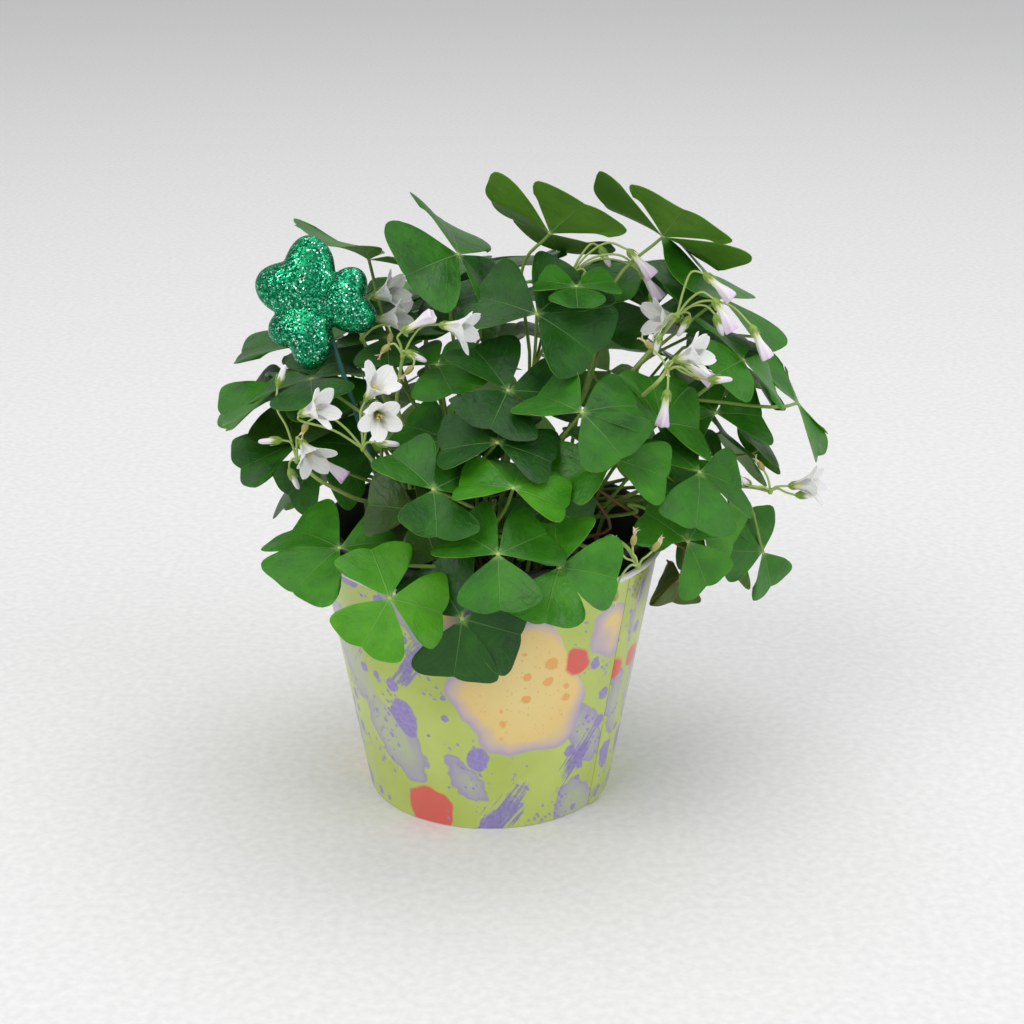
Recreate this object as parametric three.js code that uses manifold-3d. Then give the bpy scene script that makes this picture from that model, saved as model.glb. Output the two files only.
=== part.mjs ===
// A green-leaved shamrock (Oxalis) in flower, in a thin black nursery pot that stands inside a printed card
// pot cover, with a puffy glitter-foam shamrock on a stick pushed into the soil.
// Millimetres, +Z up, front towards -Y. The origin is the middle of the cover's underside.
import * as THREE from 'three';
import { mergeVertices } from 'three/addons/utils/BufferGeometryUtils.js';
import Module from 'manifold-3d';

const wasm = await Module();
wasm.setup();

// ---- Driving dimensions ----
const GAP = 0.3;                       // clearance kept between pieces that touch
const COVER = { baseRadius: 59.5, rimRadius: 82, height: 128, wall: 1, floor: 1.6, bead: 1.5, sides: 32 };
const SEAM = { azimuth: -32, width: 14, lap: 0.6 };      // glued upright lap of the card, degrees and mm
const POT = { baseRadius: 55, rimRadius: 77, height: 135, wall: 1.2, floor: 1.6, lip: 1.5, lipHeight: 5 };
const DRAIN = { count: 4, radius: 4, ring: 34 };
const SOIL = { top: 114, relief: 2, inner: 0.62, sides: 16 };   // inner: where its uneven ring lies
// A stalk's path: its points, how high it stands upright, how far it clears the rim, and the points that
// carry a ring of corners, on a plain stalk and on one that hangs over the rim.
const PATH = {
  points: 18, collar: 4, crest: 10, rings: [0, 1, 5, 9, 13, 17], hung: [0, 1, 4, 7, 9, 11, 14, 17],
};
const SIMPLIFY = 0.14;                 // mm by which slivers left by the joins may be evened out
const BUBBLE = 0.01;                   // cubic mm: anything smaller is such a leftover too
const HOLE = { radius: 2.9, depth: 12, sides: 4 };       // plain hole in the soil for each stem
const STEM = { leaf: 1.15, scape: 1.2, pedicel: 0.65, sides: 3 };
const BLADE = { thickness: 0.8, fold: 0.16, bend: 0.15, sinus: 2.8 };
// How far a stalk passes beneath its own blade, in mm; how far out, as a share of the leaf; and the droop
// past which a leaf hangs down about its stalk instead, in degrees.
const TUCK = { under: 2.5, reach: 0.95, hanging: -30 };
const CROWNS = { shared: 24, single: 18, disc: 52, clear: 7 };
const PICK = {
  top: [-71, -23, 232], foot: [-22, -43, 74], radius: 1.2, socket: 12,
  heart: 34, puff: 8, sink: 3.5, facing: [-105, 18], turns: [-38, 74, -138], scales: [1.08, 0.82, 0.87],
};
const DOME = { centre: [5, 8, 118], reach: [128, 118, 150] };   // the hidden leaves lie near this half egg
const SEED = 20261;

// Leaf outline of one leaflet, as shares of its length: along the rib, and out to the side.
const LEAFLET = [[0.66, 0.64], [0.95, 0.6]];
const NOTCH = 0.94;
const RIB = 0.5;

// Leaves placed by hand, front and top ones first. Each row: hub x, y, z; where the leaf faces, as azimuth
// and elevation; the way each leaflet points, clockwise from straight up as one faces it; leaflet length;
// and how far the leaflets lift (or, below zero, droop) out of the leaf's plane. Degrees and mm.
const LEAVES = [
  [-66, -66, 146, -100, 69, [-55, 72, -143], 32.5, 0],
  [-42, -101, 136, -70, 40, [-14, 104, -147], 26.5, 0],
  [-9, -93, 125, -88, 20, [-27, 112, -166], 29, -5],
  [5, -100, 156, -90, 55, [-49, 57, 178], 27, -5],
  [32, -97, 152, -70, 44, [-2, 105, -160], 27, -3],
  [-23, -80, 182, -92, 70, [-50, 45, 172], 27, 5],
  [13, -86, 185, -88, 62, [-72, 108, 18], 25.5, -3],
  [8, -42, 213.5, -92, 55, [-33, 82, -162], 30.5, 7],
  [41, -63, 209, -80, 55, [-48, 68, 140], 29, -8],
  [24, -20, 241, -90, 58, [-58, 45, 130], 34, -3],
  [40, -19, 253, -90, 80, [-72, 72, 180], 19, 5],
  [-26, -18, 221, -92, 62, [-36, 64, 170], 27, 0],
  [-42, -10, 227, -110, 50, [53, -65, 175], 24, 0],
  [-20, -46, 193, -90, 70, [-64, 75, -170], 26, 0],
  [6, -66, 197, -90, 55, [108, -85, 10], 27, -5],
  [-30, -62, 155, -80, 40, [160, -80, 40], 24, 0],
  [-28, -50, 165, -95, 30, [-150, 150, 0], 26, 0],
  [28, -50, 160, -80, 30, [0, 120, -120], 20, 0],
  [-58.5, 28, 251.5, 10, 64, [31, -78, 173], 37.5, 11],
  [-17.5, -2, 261, -36, 49, [14, -122, 115], 37, -7],
  [31.5, -3, 273, 52, 53, [-65, 54, 142], 35.5, 19],
  [80, 5, 271, 41, 50, [-81, 41, 161], 38.5, 16],
  [-30, 52, 232, -100, 65, [-95, 20, 140], 34, 5],
  [77, 30, 224, -60, 60, [0, 110, -110], 32, 5],
  [106, 18, 233, 0, 58, [178, -62, 50], 36, 5],
  [115, -25, 220, -30, 57, [-6, 105, -123], 27.5, -3],
  [98, -45, 175, -38, 48, [-22, 104, -158], 29.5, -8],
  [59, -62, 192, -70, 50, [5, 118, -95], 27, -8],
  [73, -48, 198, -70, 50, [-84, -2, 80], 27, -4],
  [91, -50, 143, -60, 28, [-52, 152, 40], 25, -5],
  [102, -30, 149, -60, 30, [138, 20, -75], 28, -8],
  [128, -10, 121, -60, 20, [142, -20, -95], 22, -8],
  [107, -5, 121, -40, 0, [160, 60, -70], 22, -10],
  [87, -36, 120, -60, 40, [60, 180, -60], 19, -62],
  [139, 15, 180, -10, 60, [150, 65, -40], 29, -5],
  [119, 30, 167, -20, 30, [120, 0, -120], 28, -10],
  [102, 0, 179, -45, 40, [115, -70, 12], 28, -15],
  [117, 38, 195, -20, 40, [150, 30, -90], 28, -10],
  [112, 18, 152, -20, 15, [0, 100, 180], 24, 5],
  [-96, 0, 204, -100, 85, [-97, 20, 140], 36, -3],
  [-89, -10, 175, -110, 75, [-95, 25, 115], 33, 0],
  [-80, 8, 160, -100, 30, [-130, 110, -10], 24, -5],
  [-88, 34, 212, -100, 86, [-88, 30, 150], 34, 0],
  [-79, -7, 211, -120, 75, [60, -80, 175], 29, -3],
  [-88, 14, 190, -120, 45, [-75, 165, 45], 30, -8],
];
const HIDDEN = 21;                     // leaves of the back and the inside, placed by rule
const BACK = { spread: 84, low: 2, high: 64 };           // how far round and how high those leaves reach

// Flower heads. Each has its foot in the soil, the hub where its flower stalks part, and its flowers: kind,
// base x, y, z from the hub, then the way the flower points as x, y, z.
const UMBELS = [
  { foot: [-30, -32], hub: [-56, -46, 186], flowers: [
    ['open', -27, -12, 20, 3, -1.5, 1.3], ['open', 2, -4, 24, 2, -1.5, 3], ['open', 7, -12, 21, 0.7, -3, 0.2],
    ['bud', 6, -6, 5, 3, 0, -0.3], ['seed', -24, -4, 14, -1, -0.5, -2],
  ] },
  { foot: [-38, -14], hub: [-87, -36, 177], flowers: [
    ['bud', -8, 4, 34, 1, 0, 2.6], ['open', 3, -10, 13, 1.4, -2.2, -1.4], ['bud', -6, -4, 11, -3, 0, -0.2],
    ['bud', -4, 3, -5, 0.8, 0, -2], ['closed', 9, -6, 4, 2, -0.5, -1.3],
  ] },
  { foot: [18, 6], hub: [38, 10, 252], flowers: [
    ['closed', 26, -8, 14, 3, -1, -3], ['closed', 32, -4, 4, 2, 0, -3], ['bud', 38, 2, -8, 0.5, 0, -3],
    ['bud', 14, 6, 12, 1, 0, -2], ['bud', 7, -2, 2, 0, 0, -1],
  ] },
  { foot: [34, -8], hub: [86, -17, 240], flowers: [
    ['closed', 11, -6, 21, 2.4, -1, -2], ['closed', 15, -12, 11, 2, -1, -3.2], ['bud', 17, -2, 1, 1, 0, -2.6],
    ['closed', 33, -6, -3, 1.6, -0.5, -3], ['bud', 6, 2, -1, -1.4, 0, -2.4], ['bud', -8, -4, -7, -0.4, 0, -2],
    ['open', 2, 8, -4, -2, -1, 0.4],
  ] },
  { foot: [40, -22], hub: [80, -44, 222], flowers: [
    ['closed', 0, -6, -7, -0.4, 0, -3], ['open', 2, -8, 7, 2.4, -1, 1], ['closed', 6, 2, 4, 2, -0.5, -1.2],
    ['seed', 12, 4, -4, 3, 0, -0.3], ['bud', 18, -4, -3, 3, 0, 0], ['seed', -6, 6, 8, -1, 0, 1],
  ] },
  { foot: [50, -6], hub: [133, -8, 152], flowers: [
    ['open', 8, -4, 4, 3, -1, 0.6], ['bud', 12, 0, -2, 3, 0, 0.1], ['seed', -3, 4, 9, -1.4, 0, 2.2],
    ['bud', -10, -3, 4, -1, -1, 1],
  ] },
  { foot: [-22, -18], hub: [-38, -32, 225], flowers: [
    ['open', 17, -8, 17, 3, -1.2, -0.3], ['closed', 0, -6, 13, 2.6, -0.6, 1.6],
    ['bud', 1, -2, 3, 2.4, 0, -1.2], ['seed', 5, -8, -2, -1.5, 0, -1.5], ['seed', -6, 2, 5, -1, 0, -1],
  ] },
  { foot: [30, -44], hub: [67, -76, 141], flowers: [
    ['seed', -8, -4, 8, -0.6, 0, 1.5], ['seed', -3, -6, 12, 0.3, 0, 2], ['seed', -10, -8, -8, -0.3, 0, -2.5],
    ['seed', 6, -2, 8, 1, 0, 1.4],
  ] },
  { foot: [-38, 8], hub: [-58, -6, 226], flowers: [
    ['open', 4, 5, 18, 2.6, -1, 1], ['open', 6, 4, 8, 2.4, -0.9, 0.4],
    ['seed', 14, -12, 6, -0.3, -1.5, -1.6], ['bud', -8, 8, 12, -1, 1, 1.5],
  ] },
];
const FLOWER = {
  open: { length: 17, reach: 10.5, throat: 2.6 },
  closed: { length: 17, reach: 3.2, throat: 2.2 },
  bud: { length: 11, reach: 1.9, throat: 1.4 },
  seed: { length: 8, reach: 1.7, throat: 1.2 },
};

// Discs on each leaflet, as shares of its length, that stand for the blade while leaves are bent clear.
const DISCS = [[0.42, 0], [0.74, 0.28], [0.74, -0.28]];
const DISC_RADIUS = 0.34;

// How things are bent clear of each other, in mm. Leaves: the height kept between two blades, how far off a
// blade still counts, the margin round a disc, the room between two discs, and the room round flower stalks.
// Stalks: the room between two, the height at which a blade pushes one and the room kept past its edge. Then
// the rounds, the shares of a push that are followed, the share of each round that springs back, and the
// longest step of a stalk's corner.
const BEND = {
  layer: 7, feel: 12, edge: 2, near: 8, thin: 8, stalk: 5.5, pierce: 9, rim: 4,
  rounds: 200, stalkRounds: 150, follow: 1.2, bendy: 0.3, keep: 0.01, step: 1.5,
};

// ---- Numbers and vectors ----
const rad = THREE.MathUtils.degToRad;
const V = (p) => new THREE.Vector3(...p);
const mixed = (a, b, t) => a.clone().lerp(b, t);

// Park-Miller draws between 0 and 1: whole numbers all the way, so any language repeats them exactly.
let state = SEED;
function draw() {
  state = (state * 16807) % 2147483647;
  return state / 2147483647;
}

function facing(azimuth, elevation) {
  const a = rad(azimuth);
  const e = rad(elevation);
  return new THREE.Vector3(Math.cos(e) * Math.cos(a), Math.cos(e) * Math.sin(a), Math.sin(e));
}

// A direction square to the face, pointing up the slope and a little back.
function upOf(normal) {
  const up = new THREE.Vector3(0, 0.35, 0.94);
  return up.addScaledVector(normal, -up.dot(normal)).normalize();
}

function bezier(a, b, c, d, count) {
  return new THREE.CubicBezierCurve3(a, b, c, d).getPoints(count - 1);
}

// ---- Closed solids ----
function solid(geometry) {
  const bare = geometry.clone();
  bare.deleteAttribute('normal');
  bare.deleteAttribute('uv');
  const merged = mergeVertices(bare, 1e-5);
  const index = merged.index.array;
  const faces = [];
  for (let i = 0; i < index.length; i += 3) {
    const [a, b, c] = [index[i], index[i + 1], index[i + 2]];
    if (a !== b && b !== c && c !== a) faces.push(a, b, c);
  }
  return new wasm.Manifold(new wasm.Mesh({
    numProp: 3,
    vertProperties: new Float32Array(merged.getAttribute('position').array),
    triVerts: new Uint32Array(faces),
  }));
}

function solidOf(points, faces) {
  const geometry = new THREE.BufferGeometry();
  const positions = points.flatMap((p) => p.toArray());
  geometry.setAttribute('position', new THREE.Float32BufferAttribute(positions, 3));
  geometry.setIndex(faces);
  return solid(geometry);
}

const joined = (solids) => solids.reduce((sum, next) => sum.add(next));

// Evens out slivers and fills the closed-in bubbles that joins leave inside a body.
function cleaned(body) {
  const pieces = body.simplify(SIMPLIFY).decompose();
  return joined(pieces.filter((piece) => piece.volume() > BUBBLE));
}

// The profile is a list of [radius, height]; it starts and ends on the axis.
function turned(profile, sides) {
  const lathe = new THREE.LatheGeometry(profile.map(([r, z]) => new THREE.Vector2(r, z)), sides);
  lathe.rotateX(Math.PI / 2);
  return solid(lathe);
}

function roundBar(radius, low, high, sides, x = 0, y = 0) {
  const bar = new THREE.CylinderGeometry(radius, radius, high - low, sides);
  bar.rotateX(Math.PI / 2);
  bar.translate(x, y, (low + high) / 2);
  return solid(bar);
}

// A stalk or bar with a ring of corners at each point; the rings turn no more than the path does.
function strand(points, radius, sides) {
  const corners = [];
  let across = new THREE.Vector3(1, 0.2, 0.1);
  points.forEach((point, k) => {
    const ahead = (points[k + 1] ?? point).clone().sub(points[k - 1] ?? point).normalize();
    across = across.clone().addScaledVector(ahead, -across.dot(ahead)).normalize();
    const other = ahead.clone().cross(across);
    for (let i = 0; i < sides; i++) {
      const a = (i / sides) * 2 * Math.PI;
      corners.push(point.clone()
        .addScaledVector(across, radius * Math.cos(a)).addScaledVector(other, radius * Math.sin(a)));
    }
  });
  const faces = [];
  const last = (points.length - 1) * sides;
  for (let i = 1; i + 1 < sides; i++) faces.push(0, i + 1, i, last, last + i, last + i + 1);
  for (let k = 0; k < last; k += sides) {
    for (let i = 0; i < sides; i++) {
      const j = (i + 1) % sides;
      faces.push(k + i, k + j, k + sides + i, k + j, k + sides + j, k + sides + i);
    }
  }
  return solidOf(corners, faces);
}

// ---- Pots and soil ----
function coverRadius(z) {
  return COVER.baseRadius + ((COVER.rimRadius - COVER.baseRadius) * z) / COVER.height;
}

function potCover() {
  const { wall, floor, height, bead, sides } = COVER;
  const under = height - 2 * bead;
  const body = turned([
    [0, 0], [coverRadius(0), 0], [coverRadius(under), under], [coverRadius(height) + bead, under + bead],
    [coverRadius(height), height], [coverRadius(height) - wall - 0.6, height - bead],
    [coverRadius(under) - wall, under], [coverRadius(floor) - wall, floor], [0, floor],
  ], sides);
  // The lap is a narrow strip of the same cone, standing one card thickness proud of it.
  const half = (SEAM.width / coverRadius(height)) / 2;
  const columns = [-half, 0, half].map((turn) => rad(SEAM.azimuth) + turn);
  const points = [];
  const section = [[1, -wall / 2], [1, SEAM.lap], [under - 0.5, SEAM.lap], [under - 0.5, -wall / 2]];
  for (const angle of columns) {
    for (const [z, out] of section) {
      const r = coverRadius(z) + out;
      points.push(new THREE.Vector3(r * Math.cos(angle), r * Math.sin(angle), z));
    }
  }
  const faces = [0, 1, 2, 0, 2, 3, 8, 10, 9, 8, 11, 10];
  for (const start of [0, 4]) {
    for (let i = 0; i < 4; i++) {
      const [a, b] = [start + i, start + ((i + 1) % 4)];
      faces.push(a, a + 4, b, b, a + 4, b + 4);
    }
  }
  return body.add(solidOf(points, faces));
}

function potRadius(z) {
  return POT.baseRadius + ((POT.rimRadius - POT.lip - POT.baseRadius) * z) / POT.height;
}

const POT_FLOOR = COVER.floor + GAP;

function nurseryPot() {
  const { wall, floor, height, lip, lipHeight } = POT;
  const body = turned([
    [0, 0], [potRadius(0), 0], [potRadius(height - lipHeight), height - lipHeight],
    [potRadius(height) + lip, height - lipHeight + 1], [potRadius(height) + lip, height],
    [potRadius(height) - wall, height], [potRadius(floor) - wall, floor], [0, floor],
  ], COVER.sides).translate([0, 0, POT_FLOOR]);
  let pot = body;
  for (let i = 0; i < DRAIN.count; i++) {
    const a = ((i + 0.5) / DRAIN.count) * 2 * Math.PI;
    const [x, y] = [DRAIN.ring * Math.cos(a), DRAIN.ring * Math.sin(a)];
    pot = pot.subtract(roundBar(DRAIN.radius, POT_FLOOR - 1, POT_FLOOR + floor + 1, 8, x, y));
  }
  return pot;
}

function soil(feet) {
  const low = POT_FLOOR + POT.floor + GAP;
  const inner = (z) => potRadius(z - POT_FLOOR) - POT.wall - 2 * GAP;
  const points = [new THREE.Vector3(0, 0, low), new THREE.Vector3(0, 0, SOIL.top)];
  const ring = (radius, z, relief) => {
    for (let i = 0; i < SOIL.sides; i++) {
      const a = (i / SOIL.sides) * 2 * Math.PI;
      const lift = relief * (draw() - 0.5) * 2;
      points.push(new THREE.Vector3(radius * Math.cos(a), radius * Math.sin(a), z + lift));
    }
  };
  ring(inner(low), low, 0);
  ring(inner(SOIL.top), SOIL.top - SOIL.relief, 0);
  ring(inner(SOIL.top) * SOIL.inner, SOIL.top, SOIL.relief);
  const faces = [];
  const [first, second, third] = [2, 2 + SOIL.sides, 2 + 2 * SOIL.sides];
  for (let i = 0; i < SOIL.sides; i++) {
    const j = (i + 1) % SOIL.sides;
    faces.push(0, first + j, first + i);
    for (const [a, b] of [[first, second], [second, third]]) {
      faces.push(a + i, a + j, b + i, a + j, b + j, b + i);
    }
    faces.push(third + i, third + j, 1);
  }
  let ground = solidOf(points, faces);
  for (const { x, y, bottom, radius } of feet) {
    ground = ground.subtract(roundBar(radius, bottom, SOIL.top + 10, HOLE.sides, x, y));
  }
  return ground;
}

// ---- Sign: three puffy hearts on a stick ----
function heart(length, puff) {
  const round = 11;
  const levels = [0.42, 0.78];          // shares of the puff at which the outline is drawn in
  const outline = [];
  for (let i = 0; i < round; i++) {
    const t = (i / round) * 2 * Math.PI;
    const x = 0.55 * Math.sign(Math.sin(t)) * Math.abs(Math.sin(t)) ** 1.8;
    const y = 0.49 * Math.cos(t) - 0.125 * Math.cos(2 * t) - 0.047 * Math.cos(3 * t) - 0.02 * Math.cos(4 * t);
    outline.push([x * length, (y + 0.588) * length]);
  }
  const middle = [0, 0.56 * length];
  const points = [-puff, puff].map((z) => new THREE.Vector3(middle[0], middle[1], z));
  const heights = [-levels[1], -levels[0], 0, levels[0], levels[1]];
  for (const h of heights) {
    const k = Math.sqrt(1 - h * h) ** 0.9;
    for (const [x, y] of outline) {
      points.push(new THREE.Vector3(x * k, middle[1] + (y - middle[1]) * k, h * puff));
    }
  }
  const faces = [];
  for (let i = 0; i < round; i++) {
    const j = (i + 1) % round;
    faces.push(0, 2 + i, 2 + j);
    for (let k = 0; k < heights.length - 1; k++) {
      const [a, b] = [2 + k * round, 2 + (k + 1) * round];
      faces.push(a + i, b + i, a + j, a + j, b + i, b + j);
    }
    const last = 2 + (heights.length - 1) * round;
    faces.push(last + i, 1, last + j);
  }
  return [points, faces];
}

const stickAxis = V(PICK.foot).sub(V(PICK.top)).normalize();

function pickHead() {
  const normal = facing(...PICK.facing);
  const hearts = PICK.turns.map((turn, i) => {
    const [points, faces] = heart(PICK.heart * PICK.scales[i], PICK.puff);
    const along = clockwise(upOf(normal), normal, turn);
    const side = along.clone().cross(normal);
    const placed = points.map((p) => V(PICK.top)
      .addScaledVector(stickAxis, -PICK.socket)
      .addScaledVector(side, p.x).addScaledVector(along, p.y - PICK.sink).addScaledVector(normal, p.z));
    return solidOf(placed, faces);
  });
  const socket = [-PICK.socket + 2, 20].map((reach) => V(PICK.top).addScaledVector(stickAxis, reach));
  return joined(hearts).subtract(strand(socket, PICK.radius + GAP, 6));
}

function pickStick() {
  const start = V(PICK.top).addScaledVector(stickAxis, -PICK.socket + 2 + GAP);
  return strand([start, V(PICK.foot)], PICK.radius, 6);
}

// ---- Where leaves and flower heads stand ----
function leafOf([x, y, z, azimuth, elevation, turns, size, lift]) {
  const normal = facing(azimuth, elevation);
  return { hub: V([x, y, z]), normal, up: upOf(normal), turns, size, lift };
}

// The back and the inside: a golden-angle walk over the dome's back and crown.
function hiddenLeaves() {
  const leaves = [];
  for (let i = 0; i < HIDDEN; i++) {
    const share = (i + 0.5) / HIDDEN;
    const azimuth = 90 + BACK.spread * (2 * ((0.618034 * i) % 1) - 1);
    const elevation = BACK.low + (BACK.high - BACK.low) * share;
    const depth = 0.86 + 0.14 * draw();
    const out = facing(azimuth, elevation);
    const hub = out.clone().multiply(V(DOME.reach)).multiplyScalar(depth).add(V(DOME.centre));
    const lean = Math.min(80, elevation + 18 + 12 * draw());
    const normal = facing(azimuth + 24 * (draw() - 0.5), lean);
    const first = 360 * draw();
    const turns = [0, 120, 240].map((turn) => first + turn + 14 * (draw() - 0.5));
    const [size, lift] = [28 + 8 * draw(), -14 + 20 * draw()];
    leaves.push({ hub, normal, up: upOf(normal), turns, size, lift });
  }
  return leaves;
}

// The direction in a plane that lies at an angle clockwise from its up, as one faces it.
function clockwise(up, normal, turn) {
  const across = up.clone().cross(normal);
  return up.clone().multiplyScalar(Math.cos(rad(turn))).addScaledVector(across, Math.sin(rad(turn)));
}

function leafletAxes(leaf, turn) {
  const flat = clockwise(leaf.up, leaf.normal, turn);
  const lift = rad(leaf.lift);
  const along = flat.clone().multiplyScalar(Math.cos(lift)).addScaledVector(leaf.normal, Math.sin(lift));
  const side = along.clone().cross(leaf.normal).normalize();
  return { along, side, out: side.clone().cross(along) };
}

function bladePoint(leaf, { along, side, out }, a, s, lift = 0) {
  const rise = (BLADE.fold * Math.abs(s) - BLADE.bend * a * a) * leaf.size + lift;
  return leaf.hub.clone()
    .addScaledVector(along, a * leaf.size).addScaledVector(side, s * leaf.size).addScaledVector(out, rise);
}

// Ten small discs stand for a leaf's blade: one at its hub and three on each leaflet.
function leafDiscs(leaf) {
  const discs = [{ at: leaf.hub.clone(), out: leaf.normal.clone(), radius: 0.16 * leaf.size }];
  for (const turn of leaf.turns) {
    const axes = leafletAxes(leaf, turn);
    for (const [a, s] of DISCS) {
      discs.push({ at: bladePoint(leaf, axes, a, s), out: axes.out, radius: DISC_RADIUS * leaf.size });
    }
  }
  return discs;
}

// Where a point lies over a disc: its height above the disc's plane and its way out along that plane.
function over(disc, point) {
  const arm = point.clone().sub(disc.at);
  const height = arm.dot(disc.out);
  const flat = arm.addScaledVector(disc.out, -height);
  return { height, flat, off: flat.length() };
}

// The mean height of one leaf's points over another's discs, or null where they don't meet.
function meanHeight(points, discs) {
  const heights = [];
  for (const point of points) {
    for (const disc of discs) {
      const { height, off } = over(disc, point.at);
      if (off < disc.radius + BEND.edge && Math.abs(height) < BEND.feel) heights.push(height);
    }
  }
  return heights.length ? heights.reduce((a, b) => a + b) / heights.length : null;
}

// Lifts each point that is too near the discs to its own side of them.
function layer(moves, points, discs, side) {
  points.forEach((point, k) => {
    let most = 0;
    let way = null;
    for (const disc of discs) {
      const { height, off } = over(disc, point.at);
      const short = BEND.layer - side * height;
      if (off < disc.radius + BEND.edge && Math.abs(height) < BEND.feel && short > most) {
        most = short;
        way = disc.out;
      }
    }
    if (way) moves[k].addScaledVector(way, side * most * 0.5);
  });
}

function push(move, point, from, distance, share) {
  const arm = point.clone().sub(from);
  const gap = arm.length();
  if (gap < distance && gap > 1e-6) move.addScaledVector(arm, ((distance - gap) * share) / gap);
}

// Moves a disc off a thing that touches or pierces it: away along the disc's plane, and up or down from it.
function dodge(move, disc, { at, radius }) {
  const { height, flat, off } = over(disc, at);
  const room = BEND.thin + radius;
  const short = disc.radius + 0.5 * room - off;
  if (short <= 0 || Math.abs(height) > room) return;
  if (off > 1e-6) move.addScaledVector(flat, (-0.4 * short) / off);
  move.addScaledVector(disc.out, (height > 0 ? -1 : 1) * (room - Math.abs(height)) * 0.5);
}

// Keeps a point off the pots: outwards of the cover where it is beside it, and over the rim where inside.
function offPots(point, room) {
  const top = POT_FLOOR + POT.height + room;
  const r = Math.hypot(point.x, point.y);
  const limit = coverRadius(Math.min(point.z, COVER.height)) + COVER.bead + room;
  if (point.z >= top || r >= limit) return new THREE.Vector3();
  if (r < 0.8 * limit) return new THREE.Vector3(0, 0, top - point.z);
  return new THREE.Vector3((point.x / r) * (limit - r), (point.y / r) * (limit - r), 0);
}

// Each leaf moves as one stiff plate, by the mean push and turn of its ten points.
function moveLeaf(leaf, discs, moves, start) {
  const shift = new THREE.Vector3();
  const spin = new THREE.Vector3();
  let weight = 0;
  moves.forEach((move, k) => {
    const arm = discs[k].at.clone().sub(leaf.hub);
    shift.addScaledVector(move, BEND.follow / moves.length);
    spin.add(arm.clone().cross(move));
    weight += arm.lengthSq();
  });
  spin.multiplyScalar(BEND.follow / weight);
  leaf.hub.add(shift).lerp(start.hub, BEND.keep);
  leaf.normal.add(spin.clone().cross(leaf.normal)).lerp(start.normal, BEND.keep).normalize();
  leaf.up.add(spin.clone().cross(leaf.up)).lerp(start.up, BEND.keep);
  leaf.up.addScaledVector(leaf.normal, -leaf.up.dot(leaf.normal)).normalize();
}

function bendLeavesClear(leaves, fixed) {
  const copyOf = ({ hub, normal, up }) => ({ hub: hub.clone(), normal: normal.clone(), up: up.clone() });
  const starts = leaves.map(copyOf);
  const sides = leaves.map(() => leaves.map(() => 0));
  for (let round = 0; round < BEND.rounds; round++) {
    const sets = leaves.map(leafDiscs);
    const moves = sets.map((discs) => discs.map(() => new THREE.Vector3()));
    for (let i = 0; i < leaves.length; i++) {
      for (let j = i + 1; j < leaves.length; j++) {
        if (leaves[i].hub.distanceTo(leaves[j].hub) > leaves[i].size + leaves[j].size + BEND.layer) continue;
        const alike = leaves[i].normal.dot(leaves[j].normal) < 0 ? -1 : 1;
        if (!sides[i][j]) {
          const above = meanHeight(sets[i], sets[j]);
          const below = meanHeight(sets[j], sets[i]);
          if (above === null && below === null) continue;
          sides[i][j] = (above ?? 0) - alike * (below ?? 0) < 0 ? -1 : 1;
        }
        layer(moves[i], sets[i], sets[j], sides[i][j]);
        layer(moves[j], sets[j], sets[i], -alike * sides[i][j]);
        sets[i].forEach((a, k) => sets[j].forEach((b, m) => {
          push(moves[i][k], a.at, b.at, BEND.near, 0.5);
          push(moves[j][m], b.at, a.at, BEND.near, 0.5);
        }));
      }
      sets[i].forEach((disc, k) => {
        for (const thing of fixed) dodge(moves[i][k], disc, thing);
        moves[i][k].add(offPots(disc.at, 5));
      });
    }
    leaves.forEach((leaf, i) => moveLeaf(leaf, sets[i], moves[i], starts[i]));
  }
}

// Crowns are where stalks leave the soil: a sunflower spiral that skips the feet of flower heads and stick.
function crownPlaces(taken) {
  const crowns = [];
  const total = CROWNS.shared + CROWNS.single;
  for (let i = 0; crowns.length < total; i++) {
    const r = CROWNS.disc * Math.sqrt((i + 0.5) / (total + taken.length));
    const a = 2.39996 * i;
    const place = new THREE.Vector2(r * Math.cos(a), r * Math.sin(a));
    if (taken.every((t) => t.distanceTo(place) > CROWNS.clear)) crowns.push(place);
  }
  return crowns;
}

// Each leaf takes the nearest crown with room to a point a third of the way out to its hub.
function giveCrowns(leaves, crowns) {
  const room = crowns.map((_, i) => (i < CROWNS.shared ? 2 : 1));
  for (const leaf of leaves) {
    const aim = new THREE.Vector2(leaf.hub.x, leaf.hub.y).multiplyScalar(0.36);
    let best = -1;
    crowns.forEach((crown, i) => {
      if (room[i] > 0 && (best < 0 || crown.distanceTo(aim) < crowns[best].distanceTo(aim))) best = i;
    });
    room[best] -= 1;
    leaf.crown = best;
    leaf.foot = new THREE.Vector3(crowns[best].x, crowns[best].y, SOIL.top - HOLE.depth + 2);
  }
}

// Leaves and flower heads that hang beside the pots have stalks that arch over the rim.
const hangs = (hub) => hub.z < 165 && Math.hypot(hub.x, hub.y) > COVER.rimRadius - 6;

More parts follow.
